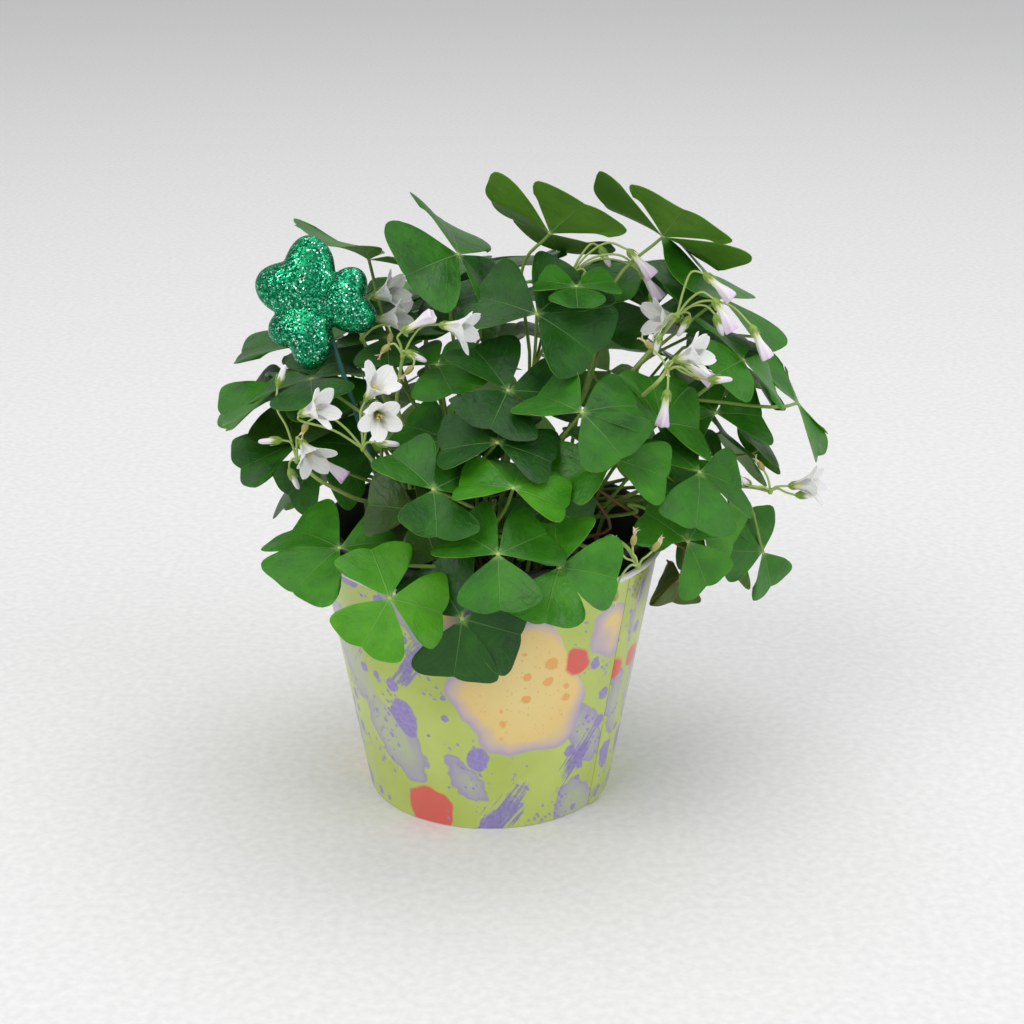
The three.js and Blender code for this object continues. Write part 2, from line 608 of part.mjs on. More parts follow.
// A stalk stands upright in its hole up to the collar. From there it bends out to arrive at its hub.
function stalkPoints(foot, hub, arrive) {
  const collar = foot.clone().setZ(SOIL.top + PATH.collar);
  if (!hangs(hub)) {
    const rise = mixed(foot, hub, 0.12).setZ(collar.z + 0.6 * (hub.z - collar.z));
    return [foot, ...bezier(collar, rise, arrive, hub, PATH.points - 1)];
  }
  const out = new THREE.Vector3(hub.x, hub.y, 0).normalize();
  const crest = out.clone().multiplyScalar(COVER.rimRadius)
    .setZ(Math.max(POT_FLOOR + POT.height + PATH.crest, 0.5 * (hub.z + collar.z) + 20));
  const inner = mixed(collar, crest, 0.5).setZ(crest.z - 6);
  const half = PATH.points / 2;
  const climb = bezier(collar, collar.clone().setZ(crest.z - 8), inner, crest, half);
  const past = crest.clone().addScaledVector(out, 8);
  const fall = bezier(crest, past, mixed(crest, hub, 0.7).setZ(crest.z), hub, half);
  return [foot, ...climb, ...fall.slice(1)];
}

const ringsOf = (hub) => (hangs(hub) ? PATH.hung : PATH.rings);
const ringed = ({ hub, path }) => ringsOf(hub).map((k) => path[k]);

// Slides a stalk's point along a blade's plane until it is off the blade.
function slideOff(move, point, discs) {
  for (const disc of discs) {
    const { height, flat, off } = over(disc, point);
    const short = disc.radius + BEND.rim - off;
    if (short <= 0 || off < 1e-6 || Math.abs(height) > BEND.pierce) continue;
    move.addScaledVector(flat, (0.8 * short) / off);
  }
}

// Keeps a stalk's point off the pots: over the rim near it, or outwards of the cover further down.
function overRim(point, room) {
  const top = POT_FLOOR + POT.height + room;
  const r = Math.hypot(point.x, point.y);
  const limit = coverRadius(Math.min(point.z, COVER.height)) + COVER.bead + room;
  if (point.z >= top || r >= limit || r < POT.rimRadius - POT.lip - room) return new THREE.Vector3();
  if (point.z > top - PATH.crest - POT.lipHeight) return new THREE.Vector3(0, 0, top - point.z);
  return new THREE.Vector3((point.x / r) * (limit - r), (point.y / r) * (limit - r), 0);
}

// The shares in which a path's points follow the corners of its straight runs, one [corner, share] pair each.
function runShares(rings) {
  return Array.from({ length: PATH.points }, (_, k) => {
    const next = Math.max(1, rings.findIndex((ring) => ring >= k));
    const [a, b] = [rings[next - 1], rings[next]];
    const t = (k - a) / (b - a);
    return [[next - 1, 1 - t], [next, t]].filter(([, share]) => share > 0);
  });
}

// Moves a point of a stalk that lies over its own blade to beneath it.
function tuckUnder(point, leaf) {
  const { height, off } = over({ at: leaf.hub, out: leaf.normal }, point);
  const limit = (-BLADE.bend * off * off) / leaf.size - TUCK.under * Math.min(1, off / 6);
  if (off < TUCK.reach * leaf.size && height > limit) point.addScaledVector(leaf.normal, limit - height);
}

// Stalks keep foot, collar and hub, and bend between them, off the blades, each other and the pots. A stalk
// is a few straight runs: the pushes on its points are shared out to the corners, and the corners move.
function bendStalksClear(stalks, leaves, fixed) {
  const blades = leaves.map(leafDiscs);
  const bends = stalks.map(({ path, rings }) => {
    const shares = runShares(rings);
    const corners = rings.map((ring) => path[ring].clone());
    return { shares, corners };
  });
  const settle = () => stalks.forEach(({ path }, i) => path.forEach((point, k) => {
    point.set(0, 0, 0);
    for (const [c, share] of bends[i].shares[k]) point.addScaledVector(bends[i].corners[c], share);
  }));
  settle();
  for (let round = 0; round < BEND.stalkRounds; round++) {
    const now = stalks.map(({ path }) => path.map((p) => p.clone()));
    stalks.forEach((stalk, i) => {
      const { shares, corners } = bends[i];
      const sums = corners.map(() => new THREE.Vector3());
      const weights = corners.map(() => 0);
      now[i].forEach((point, k) => {
        const move = new THREE.Vector3();
        leaves.forEach((leaf, j) => {
          if (leaf === stalk.leaf || point.distanceTo(leaf.hub) > leaf.size + BEND.pierce) return;
          slideOff(move, point, blades[j]);
        });
        now.forEach((points, j) => {
          if (stalks[j].crown === stalk.crown) return;
          for (const other of points) push(move, point, other, BEND.stalk, 0.5);
        });
        if (stalk.leaf) for (const { at, radius } of fixed) push(move, point, at, BEND.stalk + radius, 0.5);
        move.addScaledVector(overRim(point, 3), 0.6);
        for (const [c, share] of shares[k]) {
          sums[c].addScaledVector(move, share);
          weights[c] += share * share;
        }
      });
      for (let c = 2; c + 1 < corners.length; c++) {
        const step = sums[c].multiplyScalar(BEND.bendy / weights[c]);
        corners[c].add(step.clampLength(0, BEND.step));
      }
    });
    settle();
  }
  stalks.forEach(({ leaf }, i) => {
    if (!leaf || leaf.lift <= TUCK.hanging) return;
    for (const corner of bends[i].corners.slice(2, -1)) tuckUnder(corner, leaf);
  });
  settle();
}

// ---- Leaves ----
// One thin plate of three leaflets. Corners of each leaflet: both sides and shoulders, the notch, one on the
// rib. Between two leaflets lies a sinus corner, and the three of those make the small flat hub of the leaf.
function blade(leaf) {
  const turns = [...leaf.turns].sort((a, b) => a - b);
  const each = 7;
  const count = each * turns.length;
  const skin = (lift) => turns.flatMap((turn, k) => {
    const axes = leafletAxes(leaf, turn);
    const next = turns[(k + 1) % turns.length] + (k + 1 < turns.length ? 0 : 360);
    const between = leafletAxes({ ...leaf, lift: 0 }, (turn + next) / 2).along;
    const sinus = leaf.hub.clone().addScaledVector(between, BLADE.sinus).addScaledVector(leaf.normal, lift);
    const [side, shoulder] = LEAFLET;
    const corners = [side, shoulder, [NOTCH, 0], [shoulder[0], -shoulder[1]], [side[0], -side[1]], [RIB, 0]];
    return [sinus, ...corners.map(([a, s]) => bladePoint(leaf, axes, a, s, lift))];
  });
  const points = [...skin(BLADE.thickness / 2), ...skin(-BLADE.thickness / 2)];
  const faces = [];
  const both = (a, b, c) => faces.push(a, b, c, a + count, c + count, b + count);
  both(0, 2 * each, each);
  turns.forEach((_, k) => {
    const [right, sideR, endR, notch, endL, sideL, rib] = [0, 1, 2, 3, 4, 5, 6].map((n) => each * k + n);
    const left = each * ((k + turns.length - 1) % turns.length);
    for (const [a, b, c] of [[left, right, rib], [left, rib, sideL], [rib, endL, sideL], [rib, notch, endL],
      [right, sideR, rib], [rib, sideR, endR], [rib, endR, notch]]) both(a, b, c);
    const edge = [right, sideR, endR, notch, endL, sideL, left];
    for (let i = 0; i + 1 < edge.length; i++) {
      const [p, q] = [edge[i], edge[i + 1]];
      faces.push(p, p + count, q + count, p, q + count, q);
    }
  });
  return solidOf(points, faces);
}

function leafSolid(leaf) {
  return blade(leaf).add(strand(ringed(leaf), STEM.leaf, STEM.sides));
}

// ---- Flower heads ----
function flowerParts({ hub }, [kind, dx, dy, dz, px, py, pz]) {
  const base = hub.clone().add(V([dx, dy, dz]));
  const aim = V([px, py, pz]).normalize();
  const reach = base.distanceTo(hub);
  const leave = hub.clone().add(new THREE.Vector3(dx * 0.25, dy * 0.25, Math.max(dz * 0.6, reach * 0.35)));
  const arrive = base.clone().addScaledVector(aim, -0.4 * reach);
  return { kind, base, aim, stalk: bezier(hub, leave, arrive, base, 4) };
}

// A lobed funnel, open or nearly shut: rings of ten corners outside and in, pointed at the stalk.
function funnel({ kind, base, aim }) {
  const { length, reach, throat } = FLOWER[kind];
  const lobes = 5;
  const side = new THREE.Vector3(0.3, 0.5, 0.81).cross(aim).normalize();
  const other = aim.clone().cross(side);
  const points = [base.clone().addScaledVector(aim, -0.6)];
  const ring = (corners, at, radius, notch) => {
    for (let i = 0; i < corners; i++) {
      const a = (i / corners) * 2 * Math.PI;
      const r = corners === 10 && i % 2 ? radius * notch : radius;
      const depth = corners === 10 && i % 2 ? at - 0.14 * length * (1 - notch) * 4 : at;
      points.push(base.clone().addScaledVector(aim, depth)
        .addScaledVector(side, r * Math.cos(a)).addScaledVector(other, r * Math.sin(a)));
    }
  };
  const open = kind === 'open' || kind === 'closed';
  const faces = [];
  const band = (from, to, count) => {
    for (let i = 0; i < count; i++) {
      const j = (i + 1) % count;
      faces.push(from + i, from + j, to + i, from + j, to + j, to + i);
    }
  };
  if (!open) {
    ring(lobes, 0.35 * length, reach, 1);
    ring(lobes, 0.8 * length, reach * 0.7, 1);
    points.push(base.clone().addScaledVector(aim, length));
    for (let i = 0; i < lobes; i++) {
      const j = (i + 1) % lobes;
      faces.push(0, 1 + j, 1 + i, 6 + i, 6 + j, 11);
    }
    band(1, 6, lobes);
    return solidOf(points, faces);
  }
  ring(lobes, 0.3 * length, throat, 1);
  ring(10, length, reach, 0.62);
  ring(lobes, length - 1, reach - 1.2, 1);
  points.push(base.clone().addScaledVector(aim, 0.45 * length));
  for (let i = 0; i < lobes; i++) {
    const j = (i + 1) % lobes;
    const [a, b, c] = [6 + 2 * i, 7 + 2 * i, 6 + ((2 * i + 2) % 10)];
    faces.push(0, 1 + j, 1 + i, 1 + i, b, a, 1 + i, 1 + j, b, 1 + j, c, b);
    faces.push(a, b, 16 + i, b, 16 + j, 16 + i, b, c, 16 + j, 16 + i, 16 + j, 21);
  }
  return solidOf(points, faces);
}

function umbelPlan(umbel) {
  const hub = V(umbel.hub);
  const foot = new THREE.Vector3(umbel.foot[0], umbel.foot[1], SOIL.top - HOLE.depth + 2);
  const flowers = umbel.flowers.map((row) => flowerParts({ hub }, row));
  const under = mixed(foot, hub, 0.8).setZ(foot.z + 0.86 * (hub.z - foot.z));
  return { hub, foot, path: stalkPoints(foot, hub, under), flowers };
}

function umbelSolid({ hub, path, flowers }) {
  const knob = new THREE.OctahedronGeometry(2);
  knob.translate(hub.x, hub.y, hub.z);
  const parts = [strand(ringed({ hub, path }), STEM.scape, STEM.sides), solid(knob)];
  for (const flower of flowers) parts.push(strand(flower.stalk, STEM.pedicel, STEM.sides), funnel(flower));
  return joined(parts);
}

// Points and radii that leaves are bent clear of: flower heads, the sign and its stick.
function fixedPoints(umbels) {
  const fixed = [];
  for (const { path, flowers } of umbels) {
    path.slice(Math.round(0.65 * PATH.points)).forEach((at) => fixed.push({ at, radius: -1 }));
    for (const { kind, base, aim, stalk } of flowers) {
      const { length, reach } = FLOWER[kind];
      stalk.slice(1).forEach((at) => fixed.push({ at, radius: -2 }));
      fixed.push({ at: base.clone().addScaledVector(aim, 0.75 * length), radius: 0.5 * reach });
    }
  }
  const [top, foot] = [V(PICK.top), V(PICK.foot)];
  for (let i = 0; i <= 12; i++) fixed.push({ at: mixed(top, foot, i / 12), radius: 0 });
  const normal = facing(...PICK.facing);
  const middle = top.clone().addScaledVector(stickAxis, -PICK.socket);
  for (const turn of PICK.turns) {
    const along = clockwise(upOf(normal), normal, turn);
    for (const share of [0.35, 0.75]) {
      fixed.push({ at: middle.clone().addScaledVector(along, share * PICK.heart), radius: 9 });
    }
  }
  return fixed;
}

// ---- Build ----
const umbels = UMBELS.map(umbelPlan);
const leaves = [...LEAVES.map(leafOf), ...hiddenLeaves()];
const fixed = fixedPoints(umbels);
bendLeavesClear(leaves, fixed);
const stickFoot = mixed(V(PICK.top), V(PICK.foot), (PICK.top[2] - SOIL.top) / (PICK.top[2] - PICK.foot[2]));
const taken = [...umbels.map(({ foot }) => new THREE.Vector2(foot.x, foot.y)),
  new THREE.Vector2(stickFoot.x, stickFoot.y)];
const crowns = crownPlaces(taken);
giveCrowns(leaves, crowns);
for (const leaf of leaves) {
  const under = leaf.hub.clone().addScaledVector(leaf.normal, -0.24 * leaf.hub.distanceTo(leaf.foot));
  leaf.path = stalkPoints(leaf.foot, leaf.hub, under);
}
const stalks = [
  ...leaves.map((leaf) => ({ path: leaf.path, rings: ringsOf(leaf.hub), crown: leaf.crown, leaf })),
  ...umbels.map(({ hub, path }, i) => ({ path, rings: ringsOf(hub), crown: -1 - i, leaf: null })),
];
bendStalksClear(stalks, leaves, fixed);

const sprays = [];
crowns.forEach((_, i) => {
  const own = leaves.filter((leaf) => leaf.crown === i);
  if (own.length) {
    sprays.push({ kind: 'leaves', number: i + 1, solid: joined(own.map(leafSolid)) });
  }
});
umbels.forEach((umbel, i) => sprays.push({ kind: 'flowers', number: i + 1, solid: umbelSolid(umbel) }));

// Sprays that still cross grow together as one piece, named for all of its members.
function grownTogether(list) {
  const groups = list.map((spray) => ({ members: [spray], solid: spray.solid }));
  for (let i = 0; i < groups.length; i++) {
    for (let j = i + 1; j < groups.length; j++) {
      const [a, b] = [groups[i], groups[j]];
      if (a.solid.intersect(b.solid).volume() > 1e-6) {
        a.members.push(...b.members);
        a.solid = a.solid.add(b.solid);
        groups.splice(j, 1);
        j = i;
      }
    }
  }
  return groups;
}

function sprayName({ members }) {
  const two = (n) => String(n).padStart(2, '0');
  return ['leaves', 'flowers'].flatMap((kind) => {
    const numbers = members.filter((m) => m.kind === kind).map((m) => two(m.number)).sort();
    return numbers.length ? [kind, ...numbers] : [];
  }).join('_');
}

function finish(color, roughness, metalness = 0) {
  return new THREE.MeshStandardMaterial({ color, roughness, metalness });
}

const FINISH = {
  card: finish(0xb3c06a, 0.4),
  blackPlastic: finish(0x1d1b1a, 0.5),
  soil: finish(0x2b211a, 0.95),
  leaf: finish(0x3a7228, 0.5),
  flower: finish(0xe9e6f0, 0.6),
  foam: finish(0x0f7a4c, 0.35),
  stick: finish(0x0d4a3a, 0.4),
};

const plant = new THREE.Group();
function place(name, body, material) {
  const { vertProperties, triVerts } = cleaned(body).getMesh();
  const geometry = new THREE.BufferGeometry();
  geometry.setAttribute('position', new THREE.BufferAttribute(vertProperties, 3));
  geometry.setIndex(new THREE.BufferAttribute(triVerts, 1));
  geometry.computeVertexNormals();
  const mesh = new THREE.Mesh(geometry, material);
  mesh.name = name;
  plant.add(mesh);
}

const feet = [...crowns, ...taken.slice(0, -1)]
  .map(({ x, y }) => ({ x, y, bottom: SOIL.top - HOLE.depth, radius: HOLE.radius }));

place('pot_cover', potCover(), FINISH.card);
place('nursery_pot', nurseryPot(), FINISH.blackPlastic);
const holeEnds = [V(PICK.foot).addScaledVector(stickAxis, GAP), mixed(stickFoot, V(PICK.top), 0.15)];
const stickHole = strand(holeEnds, PICK.radius + GAP, 6);
place('soil', soil(feet).subtract(stickHole), FINISH.soil);
place('pick_head', pickHead(), FINISH.foam);
place('pick_stick', pickStick(), FINISH.stick);
for (const group of grownTogether(sprays)) {
  place(sprayName(group), group.solid, group.members[0].kind === 'leaves' ? FINISH.leaf : FINISH.flower);
}

export default plant;
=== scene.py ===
"""Looks of a green-leaved shamrock in flower, in a nursery pot that stands in a printed card pot cover."""
import math
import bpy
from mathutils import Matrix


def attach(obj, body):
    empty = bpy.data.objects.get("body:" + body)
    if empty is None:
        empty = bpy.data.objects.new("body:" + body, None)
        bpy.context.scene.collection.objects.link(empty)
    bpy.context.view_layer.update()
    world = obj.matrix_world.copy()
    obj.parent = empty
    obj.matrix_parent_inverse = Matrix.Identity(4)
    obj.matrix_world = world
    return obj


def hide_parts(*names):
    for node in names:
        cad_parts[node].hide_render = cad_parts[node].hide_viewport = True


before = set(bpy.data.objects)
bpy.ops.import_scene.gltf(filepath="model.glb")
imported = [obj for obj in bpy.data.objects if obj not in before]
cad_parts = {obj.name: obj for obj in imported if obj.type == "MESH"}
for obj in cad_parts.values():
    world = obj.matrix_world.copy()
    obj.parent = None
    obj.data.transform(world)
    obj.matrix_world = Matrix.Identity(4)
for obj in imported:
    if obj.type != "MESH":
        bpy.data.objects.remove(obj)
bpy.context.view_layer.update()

from types import SimpleNamespace

import bpy
import numpy as np

MM = 0.001

# ---- Driving dimensions, in millimetres and degrees: the same values as the solids have ----
GAP = 0.3                              # clearance between pieces that touch
COVER = dict(base_radius=59.5, rim_radius=82, height=128, wall=1, floor=1.6, bead=1.5)
SEAM = dict(azimuth=-32, width=14, lap=0.6)              # the card's glued upright lap
POT = dict(base_radius=55, rim_radius=77, height=135, wall=1.2, floor=1.6, lip=1.5, lip_height=5)
POT_FLOOR = COVER["floor"] + GAP
DRAIN = dict(count=4, radius=4, ring=34)
SOIL = dict(top=114, relief=2)
STEM_FOOT = SOIL["top"] - 10           # stems end 10 mm down in the soil
# A stalk's path: its points, how high it stands upright, how far it clears the rim, and the points at which
# it bends, on a plain stalk and on one that hangs over the rim.
PATH = dict(points=18, collar=4, crest=10, rings=[0, 1, 5, 9, 13, 17], hung=[0, 1, 4, 7, 9, 11, 14, 17])
# Stalks go over the rim to hubs lower than below and further out than the rim less inside. Their crest is at
# least arch above the middle of collar and hub. The handles of their curve lie climb beneath it at the collar,
# inner beneath it half way out, beyond it further out, and level with it for a share of the way down.
OVER_RIM = dict(below=165, inside=6, arch=20, climb=8, inner=6, beyond=8, level=0.7)
# Other stalks: the handle above the collar, as shares of the way out and of the way up.
RISE = dict(out=0.12, up=0.6)
# A leaflet's fold along its rib and its bend towards its end, as shares of its length.
BLADE = dict(fold=0.16, bend=0.15)
# How far a stalk passes beneath its own blade, and how far from the hub it gets there; how far out that
# holds, as a share of the leaf; and the droop past which a leaf hangs down about its stalk instead.
TUCK = dict(under=2.5, within=6, reach=0.95, hanging=-30)
# Crowns in the soil: how many bear two leaves and one, the disc that they fill, the room round other feet.
CROWNS = dict(shared=24, single=18, disc=52, clear=7)
PICK = dict(top=[-71, -23, 232], foot=[-22, -43, 74], radius=1.2, socket=12, heart=34, puff=8, sink=3.5,
            facing=[-105, 18], turns=[-38, 74, -138], scales=[1.08, 0.82, 0.87])
# The leaves of the back and the inside lie near a half egg. How far round and how high they reach; the least
# and the spread of what is drawn for each: depth in the egg, lean, size and lift; and how far they stray.
DOME = dict(centre=[5, 8, 118], reach=[128, 118, 150])
SEED = 20261
HIDDEN = 21
BACK = dict(spread=84, low=2, high=64, depth=(0.86, 0.14), lean=(18, 12), steepest=80, size=(28, 8),
            lift=(-14, 20), stray=24, stray_turn=14)
GOLDEN = dict(share=0.618034, angle=2.39996)             # of a turn, and in radians
# Three discs stand for a leaflet while leaves are bent clear: along it and to its side, as shares of length.
DISCS = [(0.42, 0), (0.74, 0.28), (0.74, -0.28)]
DISC_RADIUS = dict(leaflet=0.34, hub=0.16)
# How things are bent clear of each other. Leaves: the height kept between two blades, how far off a blade
# still counts, the margin round a disc, the room between two discs, round flower stalks and off the pots.
# Stalks: the room between two, the height at which a blade pushes one, the room kept past its edge and off
# the pots. Then the rounds, the shares of a push that are followed, the share of each round that springs
# back, and the longest step of a stalk's corner.
BEND = dict(layer=7, feel=12, edge=2, near=8, thin=8, off_pots=5,
            stalk=5.5, pierce=9, rim=4, stalk_off_pots=3,
            rounds=200, stalk_rounds=150, follow=1.2, bendy=0.3, keep=0.01, step=1.5)
TINY = 1e-9                            # keeps a division by a length from failing
# What leaves are bent clear of. A flower head: its stalk above that share, the radii that stand for it and
# for its flowers' stalks, below zero as leaves may come closer to them; and for each flower a ball at that
# share of its length, of that share of its reach. The sign: points down the stick, and balls at those shares
# of each heart, bigger than its puff by that margin.
FIXED = dict(above=0.65, stem=-1, flower_stem=-2, flower_at=0.75, flower=0.5,
             stick_points=13, heart_at=(0.35, 0.75), heart=1)

# Leaves: hub x, y, z; where the leaf faces, as azimuth and elevation; the way each leaflet points, clockwise
# from straight up as one faces it; leaflet length; how far the leaflets lift out of the leaf's plane; its
# tone, from deep green (0) to lime (1).
LEAVES = [
    (-66, -66, 146, -100, 69, [-55, 72, -143], 32.5, 0, 0.6),
    (-42, -101, 136, -70, 40, [-14, 104, -147], 26.5, 0, 0.82),
    (-9, -93, 125, -88, 20, [-27, 112, -166], 29, -5, 0.22),
    (5, -100, 156, -90, 55, [-49, 57, 178], 27, -5, 0.5),
    (32, -97, 152, -70, 44, [-2, 105, -160], 27, -3, 0.6),
    (-23, -80, 182, -92, 70, [-50, 45, 172], 27, 5, 0.35),
    (13, -86, 185, -88, 62, [-72, 108, 18], 25.5, -3, 0.65),
    (8, -42, 213.5, -92, 55, [-33, 82, -162], 30.5, 7, 0.14),
    (41, -63, 209, -80, 55, [-48, 68, 140], 29, -8, 0.45),
    (24, -20, 241, -90, 58, [-58, 45, 130], 34, -3, 0.24),
    (40, -19, 253, -90, 80, [-72, 72, 180], 19, 5, 0.45),
    (-26, -18, 221, -92, 62, [-36, 64, 170], 27, 0, 0.5),
    (-42, -10, 227, -110, 50, [53, -65, 175], 24, 0, 0.35),
    (-20, -46, 193, -90, 70, [-64, 75, -170], 26, 0, 0.42),
    (6, -66, 197, -90, 55, [108, -85, 10], 27, -5, 0.2),
    (-30, -62, 155, -80, 40, [160, -80, 40], 24, 0, 0.3),
    (-28, -50, 165, -95, 30, [-150, 150, 0], 26, 0, 0.2),
    (28, -50, 160, -80, 30, [0, 120, -120], 20, 0, 0.3),
    (-58.5, 28, 251.5, 10, 64, [31, -78, 173], 37.5, 11, 0.45),
    (-17.5, -2, 261, -36, 49, [14, -122, 115], 37, -7, 0.42),
    (31.5, -3, 273, 52, 53, [-65, 54, 142], 35.5, 19, 0.4),
    (80, 5, 271, 41, 50, [-81, 41, 161], 38.5, 16, 0.45),
    (-30, 52, 232, -100, 65, [-95, 20, 140], 34, 5, 0.3),
    (77, 30, 224, -60, 60, [0, 110, -110], 32, 5, 0.4),
    (106, 18, 233, 0, 58, [178, -62, 50], 36, 5, 0.5),
    (115, -25, 220, -30, 57, [-6, 105, -123], 27.5, -3, 0.55),
    (98, -45, 175, -38, 48, [-22, 104, -158], 29.5, -8, 0.5),
    (59, -62, 192, -70, 50, [5, 118, -95], 27, -8, 0.58),
    (73, -48, 198, -70, 50, [-84, -2, 80], 27, -4, 0.55),
    (91, -50, 143, -60, 28, [-52, 152, 40], 25, -5, 0.62),
    (102, -30, 149, -60, 30, [138, 20, -75], 28, -8, 0.68),
    (128, -10, 121, -60, 20, [142, -20, -95], 22, -8, 0.5),
    (107, -5, 121, -40, 0, [160, 60, -70], 22, -10, 0.5),
    (87, -36, 120, -60, 40, [60, 180, -60], 19, -62, 0.35),
    (139, 15, 180, -10, 60, [150, 65, -40], 29, -5, 0.58),
    (119, 30, 167, -20, 30, [120, 0, -120], 28, -10, 0.45),
    (102, 0, 179, -45, 40, [115, -70, 12], 28, -15, 0.5),
    (117, 38, 195, -20, 40, [150, 30, -90], 28, -10, 0.5),
    (112, 18, 152, -20, 15, [0, 100, 180], 24, 5, 0.45),
    (-96, 0, 204, -100, 85, [-97, 20, 140], 36, -3, 0.5),
    (-89, -10, 175, -110, 75, [-95, 25, 115], 33, 0, 0.35),
    (-80, 8, 160, -100, 30, [-130, 110, -10], 24, -5, 0.45),
    (-88, 34, 212, -100, 86, [-88, 30, 150], 34, 0, 0.3),
    (-79, -7, 211, -120, 75, [60, -80, 175], 29, -3, 0.3),
    (-88, 14, 190, -120, 45, [-75, 165, 45], 30, -8, 0.3),
]

# Flower heads: foot in the soil, hub, and flowers: kind, base from the hub, then the way the flower points.
UMBELS = [
    ([-30, -32], [-56, -46, 186], [
        ["open", -27, -12, 20, 3, -1.5, 1.3], ["open", 2, -4, 24, 2, -1.5, 3],
        ["open", 7, -12, 21, 0.7, -3, 0.2], ["bud", 6, -6, 5, 3, 0, -0.3],
        ["seed", -24, -4, 14, -1, -0.5, -2],
    ]),
    ([-38, -14], [-87, -36, 177], [
        ["bud", -8, 4, 34, 1, 0, 2.6], ["open", 3, -10, 13, 1.4, -2.2, -1.4],
        ["bud", -6, -4, 11, -3, 0, -0.2], ["bud", -4, 3, -5, 0.8, 0, -2],
        ["closed", 9, -6, 4, 2, -0.5, -1.3],
    ]),
    ([18, 6], [38, 10, 252], [
        ["closed", 26, -8, 14, 3, -1, -3], ["closed", 32, -4, 4, 2, 0, -3], ["bud", 38, 2, -8, 0.5, 0, -3],
        ["bud", 14, 6, 12, 1, 0, -2], ["bud", 7, -2, 2, 0, 0, -1],
    ]),
    ([34, -8], [86, -17, 240], [
        ["closed", 11, -6, 21, 2.4, -1, -2], ["closed", 15, -12, 11, 2, -1, -3.2],
        ["bud", 17, -2, 1, 1, 0, -2.6], ["closed", 33, -6, -3, 1.6, -0.5, -3],
        ["bud", 6, 2, -1, -1.4, 0, -2.4], ["bud", -8, -4, -7, -0.4, 0, -2], ["open", 2, 8, -4, -2, -1, 0.4],
    ]),
    ([40, -22], [80, -44, 222], [
        ["closed", 0, -6, -7, -0.4, 0, -3], ["open", 2, -8, 7, 2.4, -1, 1],
        ["closed", 6, 2, 4, 2, -0.5, -1.2], ["seed", 12, 4, -4, 3, 0, -0.3], ["bud", 18, -4, -3, 3, 0, 0],
        ["seed", -6, 6, 8, -1, 0, 1],
    ]),
    ([50, -6], [133, -8, 152], [
        ["open", 8, -4, 4, 3, -1, 0.6], ["bud", 12, 0, -2, 3, 0, 0.1], ["seed", -3, 4, 9, -1.4, 0, 2.2],
        ["bud", -10, -3, 4, -1, -1, 1],
    ]),
    ([-22, -18], [-38, -32, 225], [
        ["open", 17, -8, 17, 3, -1.2, -0.3], ["closed", 0, -6, 13, 2.6, -0.6, 1.6],
        ["bud", 1, -2, 3, 2.4, 0, -1.2], ["seed", 5, -8, -2, -1.5, 0, -1.5], ["seed", -6, 2, 5, -1, 0, -1],
    ]),
    ([30, -44], [67, -76, 141], [
        ["seed", -8, -4, 8, -0.6, 0, 1.5], ["seed", -3, -6, 12, 0.3, 0, 2],
        ["seed", -10, -8, -8, -0.3, 0, -2.5], ["seed", 6, -2, 8, 1, 0, 1.4],
    ]),
    ([-38, 8], [-58, -6, 226], [
        ["open", 4, 5, 18, 2.6, -1, 1], ["open", 6, 4, 8, 2.4, -0.9, 0.4],
        ["seed", 14, -12, 6, -0.3, -1.5, -1.6], ["bud", -8, 8, 12, -1, 1, 1.5],
    ]),
]
FLOWER = {
    "open": dict(length=17, reach=10.5),
    "closed": dict(length=17, reach=3.2),
    "bud": dict(length=11, reach=1.9),
    "seed": dict(length=8, reach=1.7),
}


# ---- Numbers and vectors ----
def unit(v):
    return v / np.linalg.norm(v, axis=-1, keepdims=True)


def dot(a, b):
    return np.sum(a * b, axis=-1)


def draws(seed):
    """Park-Miller draws between 0 and 1, the same ones that place the solids."""
    state = seed
    while True:
        state = state * 16807 % 2147483647
        yield state / 2147483647


def facing(azimuth, elevation):
    a, e = math.radians(azimuth), math.radians(elevation)
    return np.array([math.cos(e) * math.cos(a), math.cos(e) * math.sin(a), math.sin(e)])


def up_of(normal):
    """A direction square to the face, pointing up the slope and a little back."""
    up = np.array([0, 0.35, 0.94])
    return unit(up - normal * dot(up, normal))


def bezier(a, b, c, d, count):
    t = np.linspace(0, 1, count)[:, None]
    return (1 - t) ** 3 * a + 3 * (1 - t) ** 2 * t * b + 3 * (1 - t) * t * t * c + t ** 3 * d


def clockwise(up, normal, turn):
    """The direction in a plane that lies at an angle clockwise from its up, as one faces it."""
    return up * math.cos(math.radians(turn)) + np.cross(up, normal) * math.sin(math.radians(turn))


